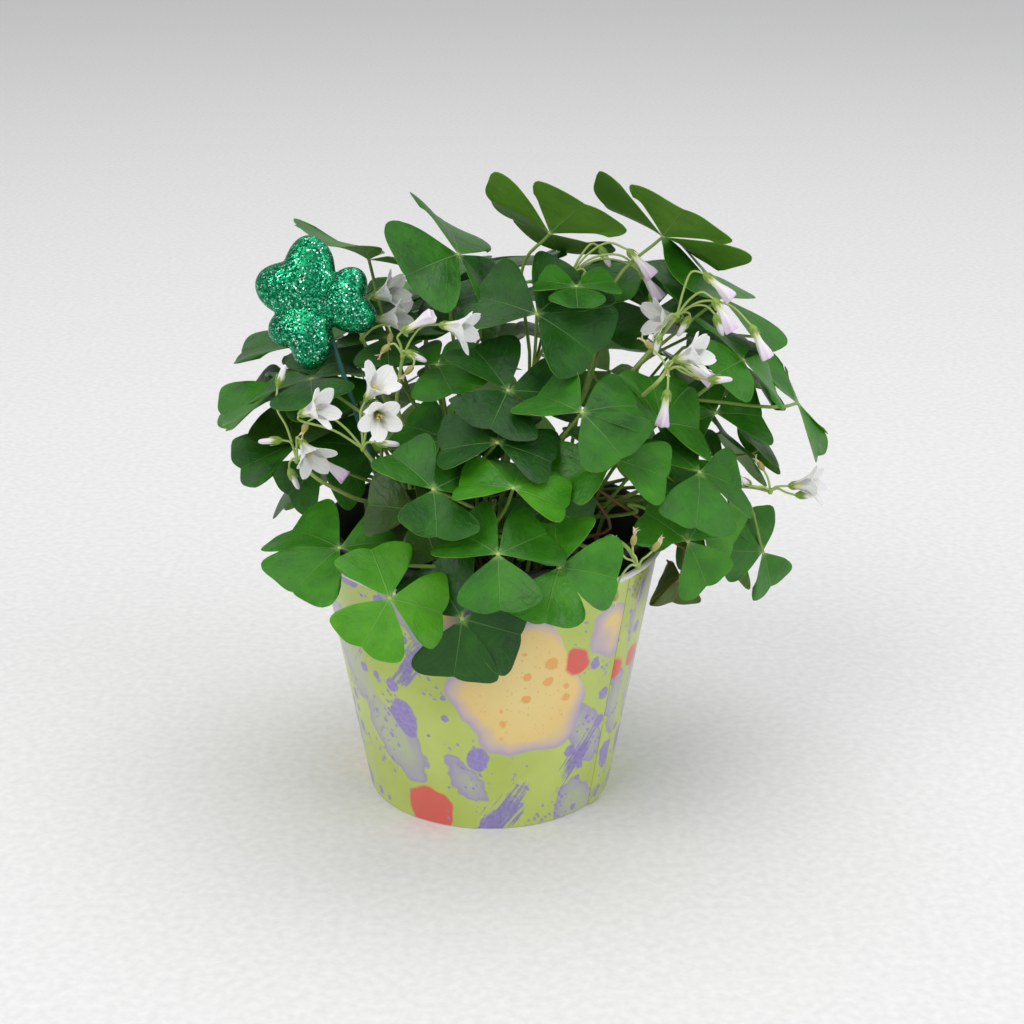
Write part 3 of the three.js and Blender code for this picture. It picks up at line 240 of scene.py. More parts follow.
# ---- Where leaves and flower heads stand ----
def planted_leaves():
    """Hub, normal, up, turns, size and lift of each leaf: those listed, then the back's."""
    rows = [[np.array(r[:3], float), facing(r[3], r[4]), r[5], r[6], r[7]] for r in LEAVES]
    draw = draws(SEED)

    def drawn(name):
        least, spread = BACK[name]
        return least + spread * next(draw)

    for i in range(HIDDEN):
        share = (i + 0.5) / HIDDEN
        azimuth = 90 + BACK["spread"] * (2 * (GOLDEN["share"] * i % 1) - 1)
        elevation = BACK["low"] + (BACK["high"] - BACK["low"]) * share
        hub = facing(azimuth, elevation) * DOME["reach"] * drawn("depth") + DOME["centre"]
        lean = min(BACK["steepest"], elevation + drawn("lean"))
        normal = facing(azimuth + BACK["stray"] * (next(draw) - 0.5), lean)
        first = 360 * next(draw)
        turns = [first + turn + BACK["stray_turn"] * (next(draw) - 0.5) for turn in (0, 120, 240)]
        rows.append([hub, normal, turns, drawn("size"), drawn("lift")])
    hub, normal, turns, size, lift = [np.array(column, float) for column in zip(*rows)]
    up = np.array([up_of(n) for n in normal])
    return SimpleNamespace(hub=hub, normal=normal, up=up, turns=turns, size=size, lift=lift)


def leaflet_axes(leaves):
    """Along, side and out of each leaflet, as arrays of leaf, leaflet, xyz."""
    across = np.cross(leaves.up, leaves.normal)
    turn = np.radians(leaves.turns)[..., None]
    lift = np.radians(leaves.lift)[:, None, None]
    flat = leaves.up[:, None] * np.cos(turn) + across[:, None] * np.sin(turn)
    along = flat * np.cos(lift) + leaves.normal[:, None] * np.sin(lift)
    side = unit(np.cross(along, leaves.normal[:, None]))
    return along, side, np.cross(side, along)


def leaf_discs(leaves):
    """Ten small discs stand for a leaf's blade: one at its hub and three on each leaflet."""
    along, side, out = leaflet_axes(leaves)
    size = leaves.size[:, None, None]
    at, outs = [leaves.hub[:, None]], [leaves.normal[:, None]]
    radius = [DISC_RADIUS["hub"] * leaves.size[:, None]]
    for a, s in DISCS:
        rise = (BLADE["fold"] * abs(s) - BLADE["bend"] * a * a) * size
        at.append(leaves.hub[:, None] + along * a * size + side * s * size + out * rise)
        outs.append(out)
        radius.append(np.repeat(DISC_RADIUS["leaflet"] * leaves.size[:, None], 3, axis=1))
    return np.concatenate(at, 1), np.concatenate(outs, 1), np.concatenate(radius, 1)


def cover_radius(z):
    return COVER["base_radius"] + (COVER["rim_radius"] - COVER["base_radius"]) * z / COVER["height"]


def off_pots(points, room, over_rim=False):
    """The way off the pots. A blade inside the rim goes up; a stalk only near the rim; else outwards."""
    x, y, z = points[..., 0], points[..., 1], points[..., 2]
    top = POT_FLOOR + POT["height"] + room
    r = np.hypot(x, y)
    limit = cover_radius(np.minimum(z, COVER["height"])) + COVER["bead"] + room
    clear = (z >= top) | (r >= limit)
    if over_rim:
        clear |= r < POT["rim_radius"] - POT["lip"] - room
        rises = z > top - PATH["crest"] - POT["lip_height"]
    else:
        rises = r < 0.8 * limit
    push = (limit - r) / np.maximum(r, TINY)
    outwards = np.stack([x * push, y * push, 0 * z], -1)
    upwards = np.stack([0 * z, 0 * z, top - z], -1)
    return np.where(clear[..., None], 0, np.where(rises[..., None], upwards, outwards))


def bend_leaves_clear(leaves, fixed):
    """Each leaf moves as one stiff plate until the blades lie in layers, clear of stalks, sign and pots."""
    start = [leaves.hub.copy(), leaves.normal.copy(), leaves.up.copy()]
    count = len(leaves.hub)
    sides = np.zeros((count, count))
    every_i, every_j = np.triu_indices(count, 1)
    for _ in range(BEND["rounds"]):
        at, out, radius = leaf_discs(leaves)
        moves = np.zeros_like(at)
        apart = np.linalg.norm(leaves.hub[every_i] - leaves.hub[every_j], axis=1)
        close = apart <= leaves.size[every_i] + leaves.size[every_j] + BEND["layer"]
        i, j = every_i[close], every_j[close]
        arm = at[i][:, :, None] - at[j][:, None]
        gap = np.linalg.norm(arm, axis=-1)
        over_j = dot(arm, out[j][:, None])
        over_i = -dot(arm, out[i][:, :, None])
        meets_j = over_disc(gap, over_j, radius[j][:, None])
        meets_i = over_disc(gap, over_i, radius[i][:, :, None])
        alike = np.where(dot(leaves.normal[i], leaves.normal[j]) < 0, -1, 1)
        fresh = (sides[i, j] == 0) & (meets_i.any((1, 2)) | meets_j.any((1, 2)))
        lower = mean_where(over_j, meets_j) - alike * mean_where(over_i, meets_i) < 0
        sides[i[fresh], j[fresh]] = np.where(lower, -1, 1)[fresh]
        side = sides[i, j]
        layer_apart(moves, i, over_j, meets_j, out[j], side, 2)
        layer_apart(moves, j, over_i, meets_i, out[i], -alike * side, 1)
        crowded = (gap < BEND["near"]) & (gap > 1e-6) & (side != 0)[:, None, None]
        push = arm * np.where(crowded, (BEND["near"] - gap) * 0.5 / np.maximum(gap, TINY), 0)[..., None]
        np.add.at(moves, i, push.sum(2))
        np.add.at(moves, j, -push.sum(1))
        moves += dodge(at, out, radius, fixed) + off_pots(at, BEND["off_pots"])
        move_leaves(leaves, at, moves, start)


def over_disc(gap, height, radius):
    off = np.sqrt(np.maximum(gap * gap - height * height, 0))
    return (off < radius + BEND["edge"]) & (np.abs(height) < BEND["feel"])


def mean_where(values, chosen):
    return np.where(chosen, values, 0).sum((1, 2)) / np.maximum(chosen.sum((1, 2)), 1)


def layer_apart(moves, own, height, meets, out, side, axis):
    """Lifts each point that is too near a disc to its own side of it."""
    short = np.where(meets & (side != 0)[:, None, None], BEND["layer"] - side[:, None, None] * height, 0)
    best = short.argmax(axis)
    most = np.maximum(short.max(axis), 0)
    way = np.take_along_axis(out, best[..., None], 1)
    np.add.at(moves, own, way * (side[:, None] * most * 0.5)[..., None])


def dodge(at, out, radius, fixed):
    """Moves discs off the things that touch or pierce them."""
    arm = fixed.at - at[:, :, None]
    height = dot(arm, out[:, :, None])
    flat = arm - height[..., None] * out[:, :, None]
    off = np.linalg.norm(flat, axis=-1)
    room = BEND["thin"] + fixed.radius
    short = radius[..., None] + 0.5 * room - off
    hit = (short > 0) & (np.abs(height) <= room)
    along = np.where(hit & (off > 1e-6), -0.4 * short / np.maximum(off, TINY), 0)
    lift = np.where(hit, np.where(height > 0, -1, 1) * (room - np.abs(height)) * 0.5, 0)
    return (flat * along[..., None] + out[:, :, None] * lift[..., None]).sum(2)


def move_leaves(leaves, at, moves, start):
    arm = at - leaves.hub[:, None]
    shift = moves.sum(1) * BEND["follow"] / moves.shape[1]
    spin = np.cross(arm, moves).sum(1) * (BEND["follow"] / dot(arm, arm).sum(1))[:, None]
    keep = BEND["keep"]
    leaves.hub = (leaves.hub + shift) * (1 - keep) + start[0] * keep
    leaves.normal = unit((leaves.normal + np.cross(spin, leaves.normal)) * (1 - keep) + start[1] * keep)
    up = (leaves.up + np.cross(spin, leaves.up)) * (1 - keep) + start[2] * keep
    leaves.up = unit(up - leaves.normal * dot(up, leaves.normal)[:, None])


def crown_places(taken):
    """Where stalks leave the soil: a sunflower spiral that skips the feet of flower heads and stick."""
    total = CROWNS["shared"] + CROWNS["single"]
    crowns, i = [], 0
    while len(crowns) < total:
        r = CROWNS["disc"] * math.sqrt((i + 0.5) / (total + len(taken)))
        place = np.array([r * math.cos(GOLDEN["angle"] * i), r * math.sin(GOLDEN["angle"] * i)])
        if all(np.linalg.norm(place - t) > CROWNS["clear"] for t in taken):
            crowns.append(place)
        i += 1
    return np.array(crowns)


def give_crowns(leaves, crowns):
    """Each leaf takes the nearest crown with room to a point a third of the way out to its hub."""
    way_out = 0.36
    room = np.where(np.arange(len(crowns)) < CROWNS["shared"], 2, 1)
    leaves.crown = []
    for hub in leaves.hub:
        far = np.linalg.norm(crowns - hub[:2] * way_out, axis=1)
        best = int(np.where(room > 0, far, np.inf).argmin())
        room[best] -= 1
        leaves.crown.append(best)
    feet = crowns[leaves.crown]
    leaves.foot = np.column_stack([feet, np.full(len(feet), STEM_FOOT)])


def hangs(hub):
    outside = math.hypot(hub[0], hub[1]) > COVER["rim_radius"] - OVER_RIM["inside"]
    return hub[2] < OVER_RIM["below"] and outside


def bends(hub):
    """The points of a stalk at which it bends on its way to that hub."""
    return PATH["hung"] if hangs(hub) else PATH["rings"]


def at_height(point, z):
    return np.array([point[0], point[1], z])


def stalk_points(foot, hub, arrive):
    """A stalk stands upright up to its collar, then bends out to its hub, over the rim if it hangs outside.
    It comes up to its hub from arrive."""
    collar = at_height(foot, SOIL["top"] + PATH["collar"])
    if not hangs(hub):
        rise = at_height(foot + (hub - foot) * RISE["out"], collar[2] + RISE["up"] * (hub[2] - collar[2]))
        return np.vstack([foot, bezier(collar, rise, arrive, hub, PATH["points"] - 1)])
    out = unit(np.array([hub[0], hub[1], 0]))
    over = max(POT_FLOOR + POT["height"] + PATH["crest"], 0.5 * (hub[2] + collar[2]) + OVER_RIM["arch"])
    crest = at_height(out * COVER["rim_radius"], over)
    inner = at_height(collar + (crest - collar) * 0.5, over - OVER_RIM["inner"])
    half = PATH["points"] // 2
    climb = bezier(collar, at_height(collar, over - OVER_RIM["climb"]), inner, crest, half)
    level = at_height(crest + (hub - crest) * OVER_RIM["level"], over)
    fall = bezier(crest, crest + out * OVER_RIM["beyond"], level, hub, half)
    return np.vstack([foot, climb, fall[1:]])


def run_shares(rings):
    """How a path's points follow the corners of its straight runs, as a matrix of point by corner."""
    shares = np.zeros((PATH["points"], len(rings)))
    for k in range(PATH["points"]):
        after = max(1, next(c for c, ring in enumerate(rings) if ring >= k))
        t = (k - rings[after - 1]) / (rings[after] - rings[after - 1])
        shares[k, after - 1] += 1 - t
        shares[k, after] += t
    return shares


def pushed_off(move, points, others, distance, allowed):
    """Adds to move the pushes on points by others that are nearer than distance."""
    square = (points ** 2).sum(1)[:, None] + (others ** 2).sum(1) - 2 * points @ others.T
    i, j = np.nonzero((square < (distance + 0.01) ** 2) & allowed)
    arm = points[i] - others[j]
    gap = np.linalg.norm(arm, axis=1)
    limit = np.broadcast_to(distance, square.shape)[i, j]
    near = (gap < limit) & (gap > 1e-6)
    np.add.at(move, i[near], arm[near] * ((limit - gap) * 0.5 / np.maximum(gap, TINY))[near, None])


def bend_stalks_clear(stalks, leaves, fixed):
    """Stalks keep foot, collar and hub, and bend between them, off blades, each other and the pots."""
    at, out, radius = leaf_discs(leaves)
    shares = [run_shares(s.rings) for s in stalks]
    corners = [s.path[s.rings] for s in stalks]
    crown = np.repeat([s.crown for s in stalks], PATH["points"])
    strangers = crown[:, None] != crown
    leafy = (np.arange(len(crown)) < len(leaves.hub) * PATH["points"])[:, None]
    own = np.arange(len(crown))[:, None] // PATH["points"] == np.arange(len(leaves.hub))
    for _ in range(BEND["stalk_rounds"]):
        points = np.concatenate([w @ c for w, c in zip(shares, corners)])
        move = np.zeros_like(points)
        far = np.linalg.norm(points[:, None] - leaves.hub, axis=-1)
        p, leaf = np.nonzero((far <= leaves.size + BEND["pierce"]) & ~own)
        arm = points[p][:, None] - at[leaf]
        height = dot(arm, out[leaf])
        flat = arm - height[..., None] * out[leaf]
        off = np.linalg.norm(flat, axis=-1)
        short = radius[leaf] + BEND["rim"] - off
        hit = (short > 0) & (off >= 1e-6) & (np.abs(height) <= BEND["pierce"])
        slide = flat * np.where(hit, 0.8 * short / np.maximum(off, TINY), 0)[..., None]
        np.add.at(move, p, slide.sum(1))
        pushed_off(move, points, points, BEND["stalk"], strangers)
        pushed_off(move, points, fixed.at, BEND["stalk"] + fixed.radius, leafy)
        move += off_pots(points, BEND["stalk_off_pots"], over_rim=True) * 0.6
        for k, (w, c) in enumerate(zip(shares, corners)):
            pull = move[k * PATH["points"]:(k + 1) * PATH["points"]]
            step = (w.T @ pull * BEND["bendy"] / (w ** 2).sum(0)[:, None])[2:-1]
            length = np.linalg.norm(step, axis=1, keepdims=True)
            c[2:-1] += step * np.minimum(1, BEND["step"] / np.maximum(length, TINY))
    for k, (stalk, c) in enumerate(zip(stalks, corners)):
        if k < len(leaves.hub) and leaves.lift[k] > TUCK["hanging"]:
            tuck_under(c[2:-1], leaves, k)
        stalk.corners = c


def tuck_under(points, leaves, k):
    """Moves the points of a stalk that lie over its own blade to beneath it."""
    height = (points - leaves.hub[k]) @ leaves.normal[k]
    off = np.linalg.norm(points - leaves.hub[k] - height[:, None] * leaves.normal[k], axis=1)
    limit = -BLADE["bend"] * off ** 2 / leaves.size[k] - TUCK["under"] * np.minimum(1, off / TUCK["within"])
    over = (off < TUCK["reach"] * leaves.size[k]) & (height > limit)
    points -= np.where(over, height - limit, 0)[:, None] * leaves.normal[k]


def flower_plan(hub, row):
    kind, offset, aim = row[0], np.array(row[1:4], float), unit(np.array(row[4:7], float))
    base = hub + offset
    reach = np.linalg.norm(offset)
    leave = hub + [offset[0] * 0.25, offset[1] * 0.25, max(offset[2] * 0.6, reach * 0.35)]
    stalk = bezier(hub, leave, base - aim * 0.4 * reach, base, 4)
    return SimpleNamespace(kind=kind, base=base, aim=aim, stalk=stalk)


def umbel_plan(umbel):
    foot_xy, hub, flowers = umbel
    hub = np.array(hub, float)
    foot = np.array([*foot_xy, STEM_FOOT], float)
    under = at_height(foot + (hub - foot) * 0.8, foot[2] + 0.86 * (hub[2] - foot[2]))
    return SimpleNamespace(hub=hub, foot=foot, path=stalk_points(foot, hub, under),
                           flowers=[flower_plan(hub, row) for row in flowers])


def fixed_points(umbels):
    """Points and radii that leaves are bent clear of: flower heads, the sign and its stick."""
    at, radius = [], []
    for umbel in umbels:
        for point in umbel.path[round(FIXED["above"] * PATH["points"]):]:
            at.append(point)
            radius.append(FIXED["stem"])
        for flower in umbel.flowers:
            size = FLOWER[flower.kind]
            at += [*flower.stalk[1:], flower.base + flower.aim * FIXED["flower_at"] * size["length"]]
            radius += [FIXED["flower_stem"]] * 3 + [FIXED["flower"] * size["reach"]]
    top, foot = np.array(PICK["top"], float), np.array(PICK["foot"], float)
    for i in range(FIXED["stick_points"]):
        at.append(top + (foot - top) * i / (FIXED["stick_points"] - 1))
        radius.append(0)
    normal = facing(*PICK["facing"])
    for turn in PICK["turns"]:
        along = clockwise(up_of(normal), normal, turn)
        for share in FIXED["heart_at"]:
            at.append(top - STICK_AXIS * PICK["socket"] + along * share * PICK["heart"])
            radius.append(PICK["puff"] + FIXED["heart"])
    return SimpleNamespace(at=np.array(at), radius=np.array(radius, float))


STICK_AXIS = unit(np.array(PICK["foot"], float) - PICK["top"])
umbels = [umbel_plan(u) for u in UMBELS]
leaves = planted_leaves()
fixed = fixed_points(umbels)
bend_leaves_clear(leaves, fixed)
share_down = (PICK["top"][2] - SOIL["top"]) / (PICK["top"][2] - PICK["foot"][2])
stick_foot = np.array(PICK["top"]) + (np.array(PICK["foot"]) - PICK["top"]) * share_down
crowns = crown_places([u.foot[:2] for u in umbels] + [stick_foot[:2]])
give_crowns(leaves, crowns)
stalks = []
for k, hub in enumerate(leaves.hub):
    under = hub - leaves.normal[k] * 0.24 * np.linalg.norm(hub - leaves.foot[k])
    stalks.append(SimpleNamespace(path=stalk_points(leaves.foot[k], hub, under), crown=leaves.crown[k],
                                  rings=bends(hub)))
for k, umbel in enumerate(umbels):
    stalks.append(SimpleNamespace(path=umbel.path, crown=-1 - k, rings=bends(umbel.hub)))
bend_stalks_clear(stalks, leaves, fixed)


# ---- Gathering a mesh ----
CRISP = 70                             # edges that turn by more degrees than this stay crisp
PLAIN = (0.5, 0, 0)                    # tint: tone, how reddish, and nothing
ANY_PHASE = 6.3                        # random phases and turns lie between 0 and this, in radians


class Shape:
    """Points and faces gathered from many small parts, each with its material and what the material reads."""

    def __init__(self):
        self.points, self.faces, self.finishes, self.uvs, self.tints = [], [], [], [], []
        self.first = self.count = 0

    def add(self, points, faces, finish, uv=None, tint=PLAIN):
        """Points as n x 3 in mm, faces as m x 3 or m x 4, uv as n x 2, tint as three numbers or n x 3."""
        points = np.asarray(points, float).reshape(-1, 3)
        self.points.append(points)
        self.uvs.append(np.zeros((len(points), 2)) if uv is None else np.asarray(uv, float).reshape(-1, 2))
        self.tints.append(np.broadcast_to(np.asarray(tint, float), (len(points), 3)))
        self.first = self.count
        self.count += len(points)
        self.join(faces, finish)

    def join(self, faces, finish):
        """Adds faces between points, counted from the first of those added last."""
        faces = np.asarray(faces)
        self.faces.append(faces + self.first)
        self.finishes.append((finish, len(faces)))

    def mesh(self, name):
        finishes = list(dict.fromkeys(f for f, _ in self.finishes))
        mesh = bpy.data.meshes.new(name)
        mesh.vertices.add(self.count)
        mesh.vertices.foreach_set("co", (np.concatenate(self.points) * MM).ravel())
        sizes = np.concatenate([np.full(len(f), f.shape[1]) for f in self.faces])
        corners = np.concatenate([f.ravel() for f in self.faces])
        mesh.loops.add(len(corners))
        mesh.loops.foreach_set("vertex_index", corners)
        mesh.polygons.add(len(sizes))
        mesh.polygons.foreach_set("loop_start", np.concatenate([[0], np.cumsum(sizes)[:-1]]))
        slots = [finishes.index(f) for f, _ in self.finishes]
        mesh.polygons.foreach_set("material_index", np.repeat(slots, [n for _, n in self.finishes]))
        mesh.update(calc_edges=True)
        mesh.uv_layers.new(name="layout").data.foreach_set("uv", np.concatenate(self.uvs)[corners].ravel())
        tint = mesh.attributes.new("tint", "FLOAT_VECTOR", "POINT")
        tint.data.foreach_set("vector", np.concatenate(self.tints).ravel())
        soften_shading(mesh)
        for finish in finishes:
            mesh.materials.append(FINISH[finish])
        return mesh

    def build(self, name, node, slot):
        """Makes the piece, which stands for that CAD node and rides on the one body."""
        piece = link(name, self.mesh(name))
        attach(piece, "root")
        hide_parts(node)
        return piece


def link(name, data):
    made = bpy.data.objects.new(name, data)
    bpy.context.scene.collection.objects.link(made)
    return made


def soften_shading(mesh):
    mesh.shade_smooth()
    mesh.set_sharp_from_angle(angle=math.radians(CRISP))


def apply_modifiers(piece):
    graph = bpy.context.evaluated_depsgraph_get()
    made = bpy.data.meshes.new_from_object(piece.evaluated_get(graph))
    piece.modifiers.clear()
    piece.data = made
    soften_shading(made)


def grid_faces(rows, columns, closed=False):
    """Four-cornered faces of a grid of points, row by row; closed joins the last column to the first."""
    across = columns if closed else columns - 1
    r, c = np.meshgrid(np.arange(rows - 1), np.arange(across), indexing="ij")
    n = (c + 1) % columns
    return np.stack([r * columns + c, r * columns + n, (r + 1) * columns + n, (r + 1) * columns + c],
                    -1).reshape(-1, 4)


def fan(start, count, centre, flip=False):
    i = np.arange(count)
    faces = np.stack([start + i, start + (i + 1) % count, np.full(count, centre)], -1)
    return faces[:, ::-1] if flip else faces


def add_rings(shape, rings, ends, finish, uv=None, tint=PLAIN, flip=False):
    """A closed body: rings of points one after the other, and a point at each end."""
    rows, sides = rings.shape[:2]
    faces, n = grid_faces(rows, sides, closed=True), rows * sides
    caps = np.vstack([fan(0, sides, n, flip=True), fan(n - sides, sides, n + 1)])
    if flip:
        faces, caps = faces[:, ::-1], caps[:, ::-1]
    shape.add(np.vstack([rings.reshape(-1, 3), *ends]), faces, finish, uv, tint)
    shape.join(caps, finish)


def ring_uv(share, around):
    """The uv of such a body: share of the way along, and the way round; then those of its ends."""
    rings = np.column_stack([np.repeat(share, len(around)), np.tile(around, len(share))])
    return np.vstack([rings, [[0, 0], [1, 0]]])


def add_turned(shape, profile, segments, finish):
    """A closed body turned about the Z axis from a profile of (radius, height) that starts and ends on the
    axis. Its uv is its height, in mm."""
    profile = np.array(profile, float)
    rings = profile[1:-1]
    a = np.linspace(0, 2 * np.pi, segments + 1)
    points = np.stack([rings[:, :1] * np.cos(a), rings[:, :1] * np.sin(a),
                       np.repeat(rings[:, 1:], segments + 1, 1)], -1)
    uv = np.stack(np.broadcast_arrays(0 * a, rings[:, 1:]), -1)
    shape.add(points, grid_faces(len(rings), segments + 1), finish, uv)
    for end, ring, flip in ((profile[0], 0, True), (profile[-1], len(rings) - 1, False)):
        disc = np.vstack([points[ring, :segments], [[0, 0, end[1]]]])
        shape.add(disc, fan(0, segments, segments, flip), finish)


def smooth_path(corners, each):
    """A smooth line through the corners (Catmull-Rom), with so many points to each run."""
    c = np.vstack([2 * corners[0] - corners[1], corners, 2 * corners[-1] - corners[-2]])
    t = np.arange(each)[:, None] / each
    runs = []
    for p0, p1, p2, p3 in zip(c, c[1:], c[2:], c[3:]):
        runs.append(0.5 * (2 * p1 + (p2 - p0) * t + (2 * p0 - 5 * p1 + 4 * p2 - p3) * t ** 2
                           + (3 * p1 - p0 - 3 * p2 + p3) * t ** 3))
    return np.vstack([*runs, corners[-1]])


def add_tube(shape, line, radii, sides, finish, tint=PLAIN):
    """A closed round tube along a line. Its uv is the share of the way along, and the way round in
    radians."""
    line = np.asarray(line, float)
    radii = np.broadcast_to(radii, (len(line),))[:, None, None]
    ahead = unit(np.gradient(line, axis=0))
    across = np.zeros_like(line)
    turned_with = np.array([1, 0.2, 0.1])
    for k, way in enumerate(ahead):
        turned_with = unit(turned_with - way * dot(turned_with, way))
        across[k] = turned_with
    other = np.cross(ahead, across)
    a = np.linspace(0, 2 * np.pi, sides, endpoint=False)[:, None]
    rings = line[:, None] + radii * (across[:, None] * np.cos(a) + other[:, None] * np.sin(a))
    uv = ring_uv(np.linspace(0, 1, len(line)), a[:, 0])
    add_rings(shape, rings, [line[0], line[-1]], finish, uv, tint)


def add_plate(shape, middle, thickness, top, under, uv, tint):
    """A thin closed plate round a grid of points: a top skin, an underside and an edge."""
    rows, columns = middle.shape[:2]
    normal = unit(np.cross(np.gradient(middle, axis=1), np.gradient(middle, axis=0)))
    n = rows * columns
    faces = grid_faces(rows, columns)
    index = np.arange(n).reshape(rows, columns)
    rim = np.concatenate([index[0], index[1:, -1], index[-1, -2::-1], index[-2:0:-1, 0]])
    after = np.roll(rim, -1)
    shape.add(middle + normal * thickness / 2, faces[:, ::-1], top, uv, tint)
    shape.add(middle - normal * thickness / 2, faces, under, uv, tint)
    shape.join(np.stack([rim - n, after - n, after, rim], -1), under)


def add_ball(shape, centre, axis, radii, finish, sides=8, rings=5, tint=PLAIN):
    """A rounded lump: radii are across its axis and along it."""
    side, other = square_to(axis)
    polar = np.linspace(0, np.pi, rings + 2)[1:-1, None, None]
    a = np.linspace(0, 2 * np.pi, sides, endpoint=False)[:, None]
    outwards = side * np.cos(a) + other * np.sin(a)
    points = centre + radii[0] * np.sin(polar) * outwards - radii[1] * np.cos(polar) * axis
    add_rings(shape, points, [centre - axis * radii[1], centre + axis * radii[1]], finish, tint=tint)


def square_to(axis):
    """Two directions square to an axis and to each other."""
    side = unit(np.cross([0.3, 0.5, 0.81], axis))
    return side, np.cross(axis, side)


def smoothstep(x, low=0.0, high=1.0):
    t = np.clip((x - low) / (high - low), 0, 1)
    return t * t * (3 - 2 * t)


# ---- Leaves ----
# A leaflet: its half angle at the hub, the points of its grid, its thickness, and where the blade starts, as
# a share of its length. Then what makes each one differ, mostly as shares of its length: the ripple of its
# edge, the bulge of its sides, more or less fold, the width of the crease, slow and quick waves, the curl of
# its rim, and its tone.
LEAFLET = dict(half_angle=45, columns=31, rows=15, thickness=0.3, start=0.03, ripple=0.012, bulge=0.1,
               fold=(0.75, 1.35), crease=0.03, wave=0.024, crinkle=0.008, curl=(-0.10, 0.05), tone=0.05)
# The leaflet's edge: how far it lies from the hub, as shares of its length, from the rib (0) to the side (1).
EDGE = ([0, 0.1, 0.3, 0.5, 0.7, 0.82, 0.9, 0.96, 1.0], [0.93, 0.96, 1.01, 1.05, 1.09, 1.09, 1.05, 0.95, 0.80])
PETIOLE = dict(foot=1.05, top=0.75, sides=8, each=5, knot=(1.15, 0.7))


def add_stalk(shape, corners, form, tint):
    """A round stalk that tapers from its foot to its top, on a smooth line through its corners."""
    line = smooth_path(corners, form["each"])
    add_tube(shape, line, np.linspace(form["foot"], form["top"], len(line)), form["sides"], "stalk", tint)


def add_leaf(shape, k, rng):
    """One leaf: three plates that meet at the hub, with waves of their own, and its stalk."""
    along, side, out = leaflet_axes(leaves)
    size, tint = leaves.size[k], leaves.tint[k]
    spread = np.linspace(-1, 1, LEAFLET["columns"])
    u = (0.5 * spread + 0.5 * np.sin(spread * np.pi / 2))[None]
    v = np.linspace(0, 1, LEAFLET["rows"])[:, None]
    v = LEAFLET["start"] + (1 - LEAFLET["start"]) * v
    phi = np.radians(LEAFLET["half_angle"]) * u
    for m in range(3):
        ripple = LEAFLET["ripple"] * np.sin(9 * u + rng.uniform(0, ANY_PHASE)) * v
        r = v * np.interp(np.abs(u), *EDGE) * (1 + ripple)
        a = r * np.cos(phi)
        s = r * np.sin(phi) * (1 + LEAFLET["bulge"] * np.sin(np.pi * v) * np.abs(u) ** 3)
        fold = BLADE["fold"] * rng.uniform(*LEAFLET["fold"])
        rise = fold * (np.hypot(s, LEAFLET["crease"]) - LEAFLET["crease"]) - BLADE["bend"] * a * a
        wave = (LEAFLET["wave"] * np.sin(3.2 * u + 2.2 * v + rng.uniform(0, ANY_PHASE)) * v ** 2
                + LEAFLET["crinkle"] * np.sin(8 * u + 3 * v + rng.uniform(0, ANY_PHASE)) * v ** 2)
        curl = rng.uniform(*LEAFLET["curl"]) * np.maximum(0, v - 0.6) ** 2 * np.abs(u) / 0.16
        rise = rise + wave + curl
        middle = leaves.hub[k] + size * (along[k, m] * a[..., None] + side[k, m] * s[..., None]
                                         + out[k, m] * rise[..., None])
        tone = rng.uniform(-LEAFLET["tone"], LEAFLET["tone"])
        add_plate(shape, middle, LEAFLET["thickness"], "leaf_top", "leaf_under",
                  size * np.stack([a, s], -1), tint + [tone, 0, 0])
    add_stalk(shape, stalks[k].corners, PETIOLE, (0.5, tint[1], 0))
    add_ball(shape, leaves.hub[k], leaves.normal[k], PETIOLE["knot"], "stalk", tint=(0.75, 0, 0))


# ---- Flowers ----
PETALS = 5
SCAPE = dict(foot=1.15, top=0.9, sides=8, each=5)        # the stalk of a flower head
PEDICEL = dict(foot=0.6, top=0.5, sides=6, each=5)       # the stalk of one flower in it
THICK = dict(petal=0.22, sepal=0.25, dried=0.2)
# Open flowers: radius of the tube, half width of a petal past it, how deep petals are dished and ruffled, how
# far every other one lies further out, how much each is turned and spread, the stamens' and anthers' radii.
OPEN = dict(tube=2.5, half_width=3.9, dish=4.5, ruffle=0.35, outer=0.12, turn=0.06, spread=(0.85, 1.05),
            thread=0.16, anther=(0.42, 0.7), calyx=(4.6, 1.7))
# Furled flowers, buds and capsules: (height, radius) from the foot up, and for a flower down again inside its
# mouth; how deep its five lobes are and how far they twist, in radians; the least and most pink flush of its
# petals; and the length and radius of its calyx.
FURLED = dict(
    closed=dict(lobe=0.2, twist=1.1, flush=(0.45, 1), calyx=(5.2, 1.75),
                profile=[(0.3, 1.0), (2, 1.4), (4, 1.6), (6, 1.55), (8, 1.65), (10, 1.95), (12, 2.35),
                         (14, 2.7), (15.6, 2.9), (16.6, 3.0), (17, 2.7), (16.5, 1.9), (15.4, 1.2),
                         (14, 0.7)]),
    bud=dict(lobe=0.12, twist=0.9, flush=(0, 0.7), calyx=(5.6, 1.65),
             profile=[(0.3, 0.9), (1.5, 1.35), (3.5, 1.5), (5.5, 1.45), (7.2, 1.35), (8.8, 1.25), (10, 0.95),
                      (10.7, 0.5)]),
    seed=dict(lobe=0.1, twist=0.4, profile=[(0.3, 0.8), (1.4, 1.3), (2.8, 1.5), (4.2, 1.25), (5.2, 0.7)]),
)


def share_uv(along, across):
    return np.stack(np.broadcast_arrays(along, across), -1)


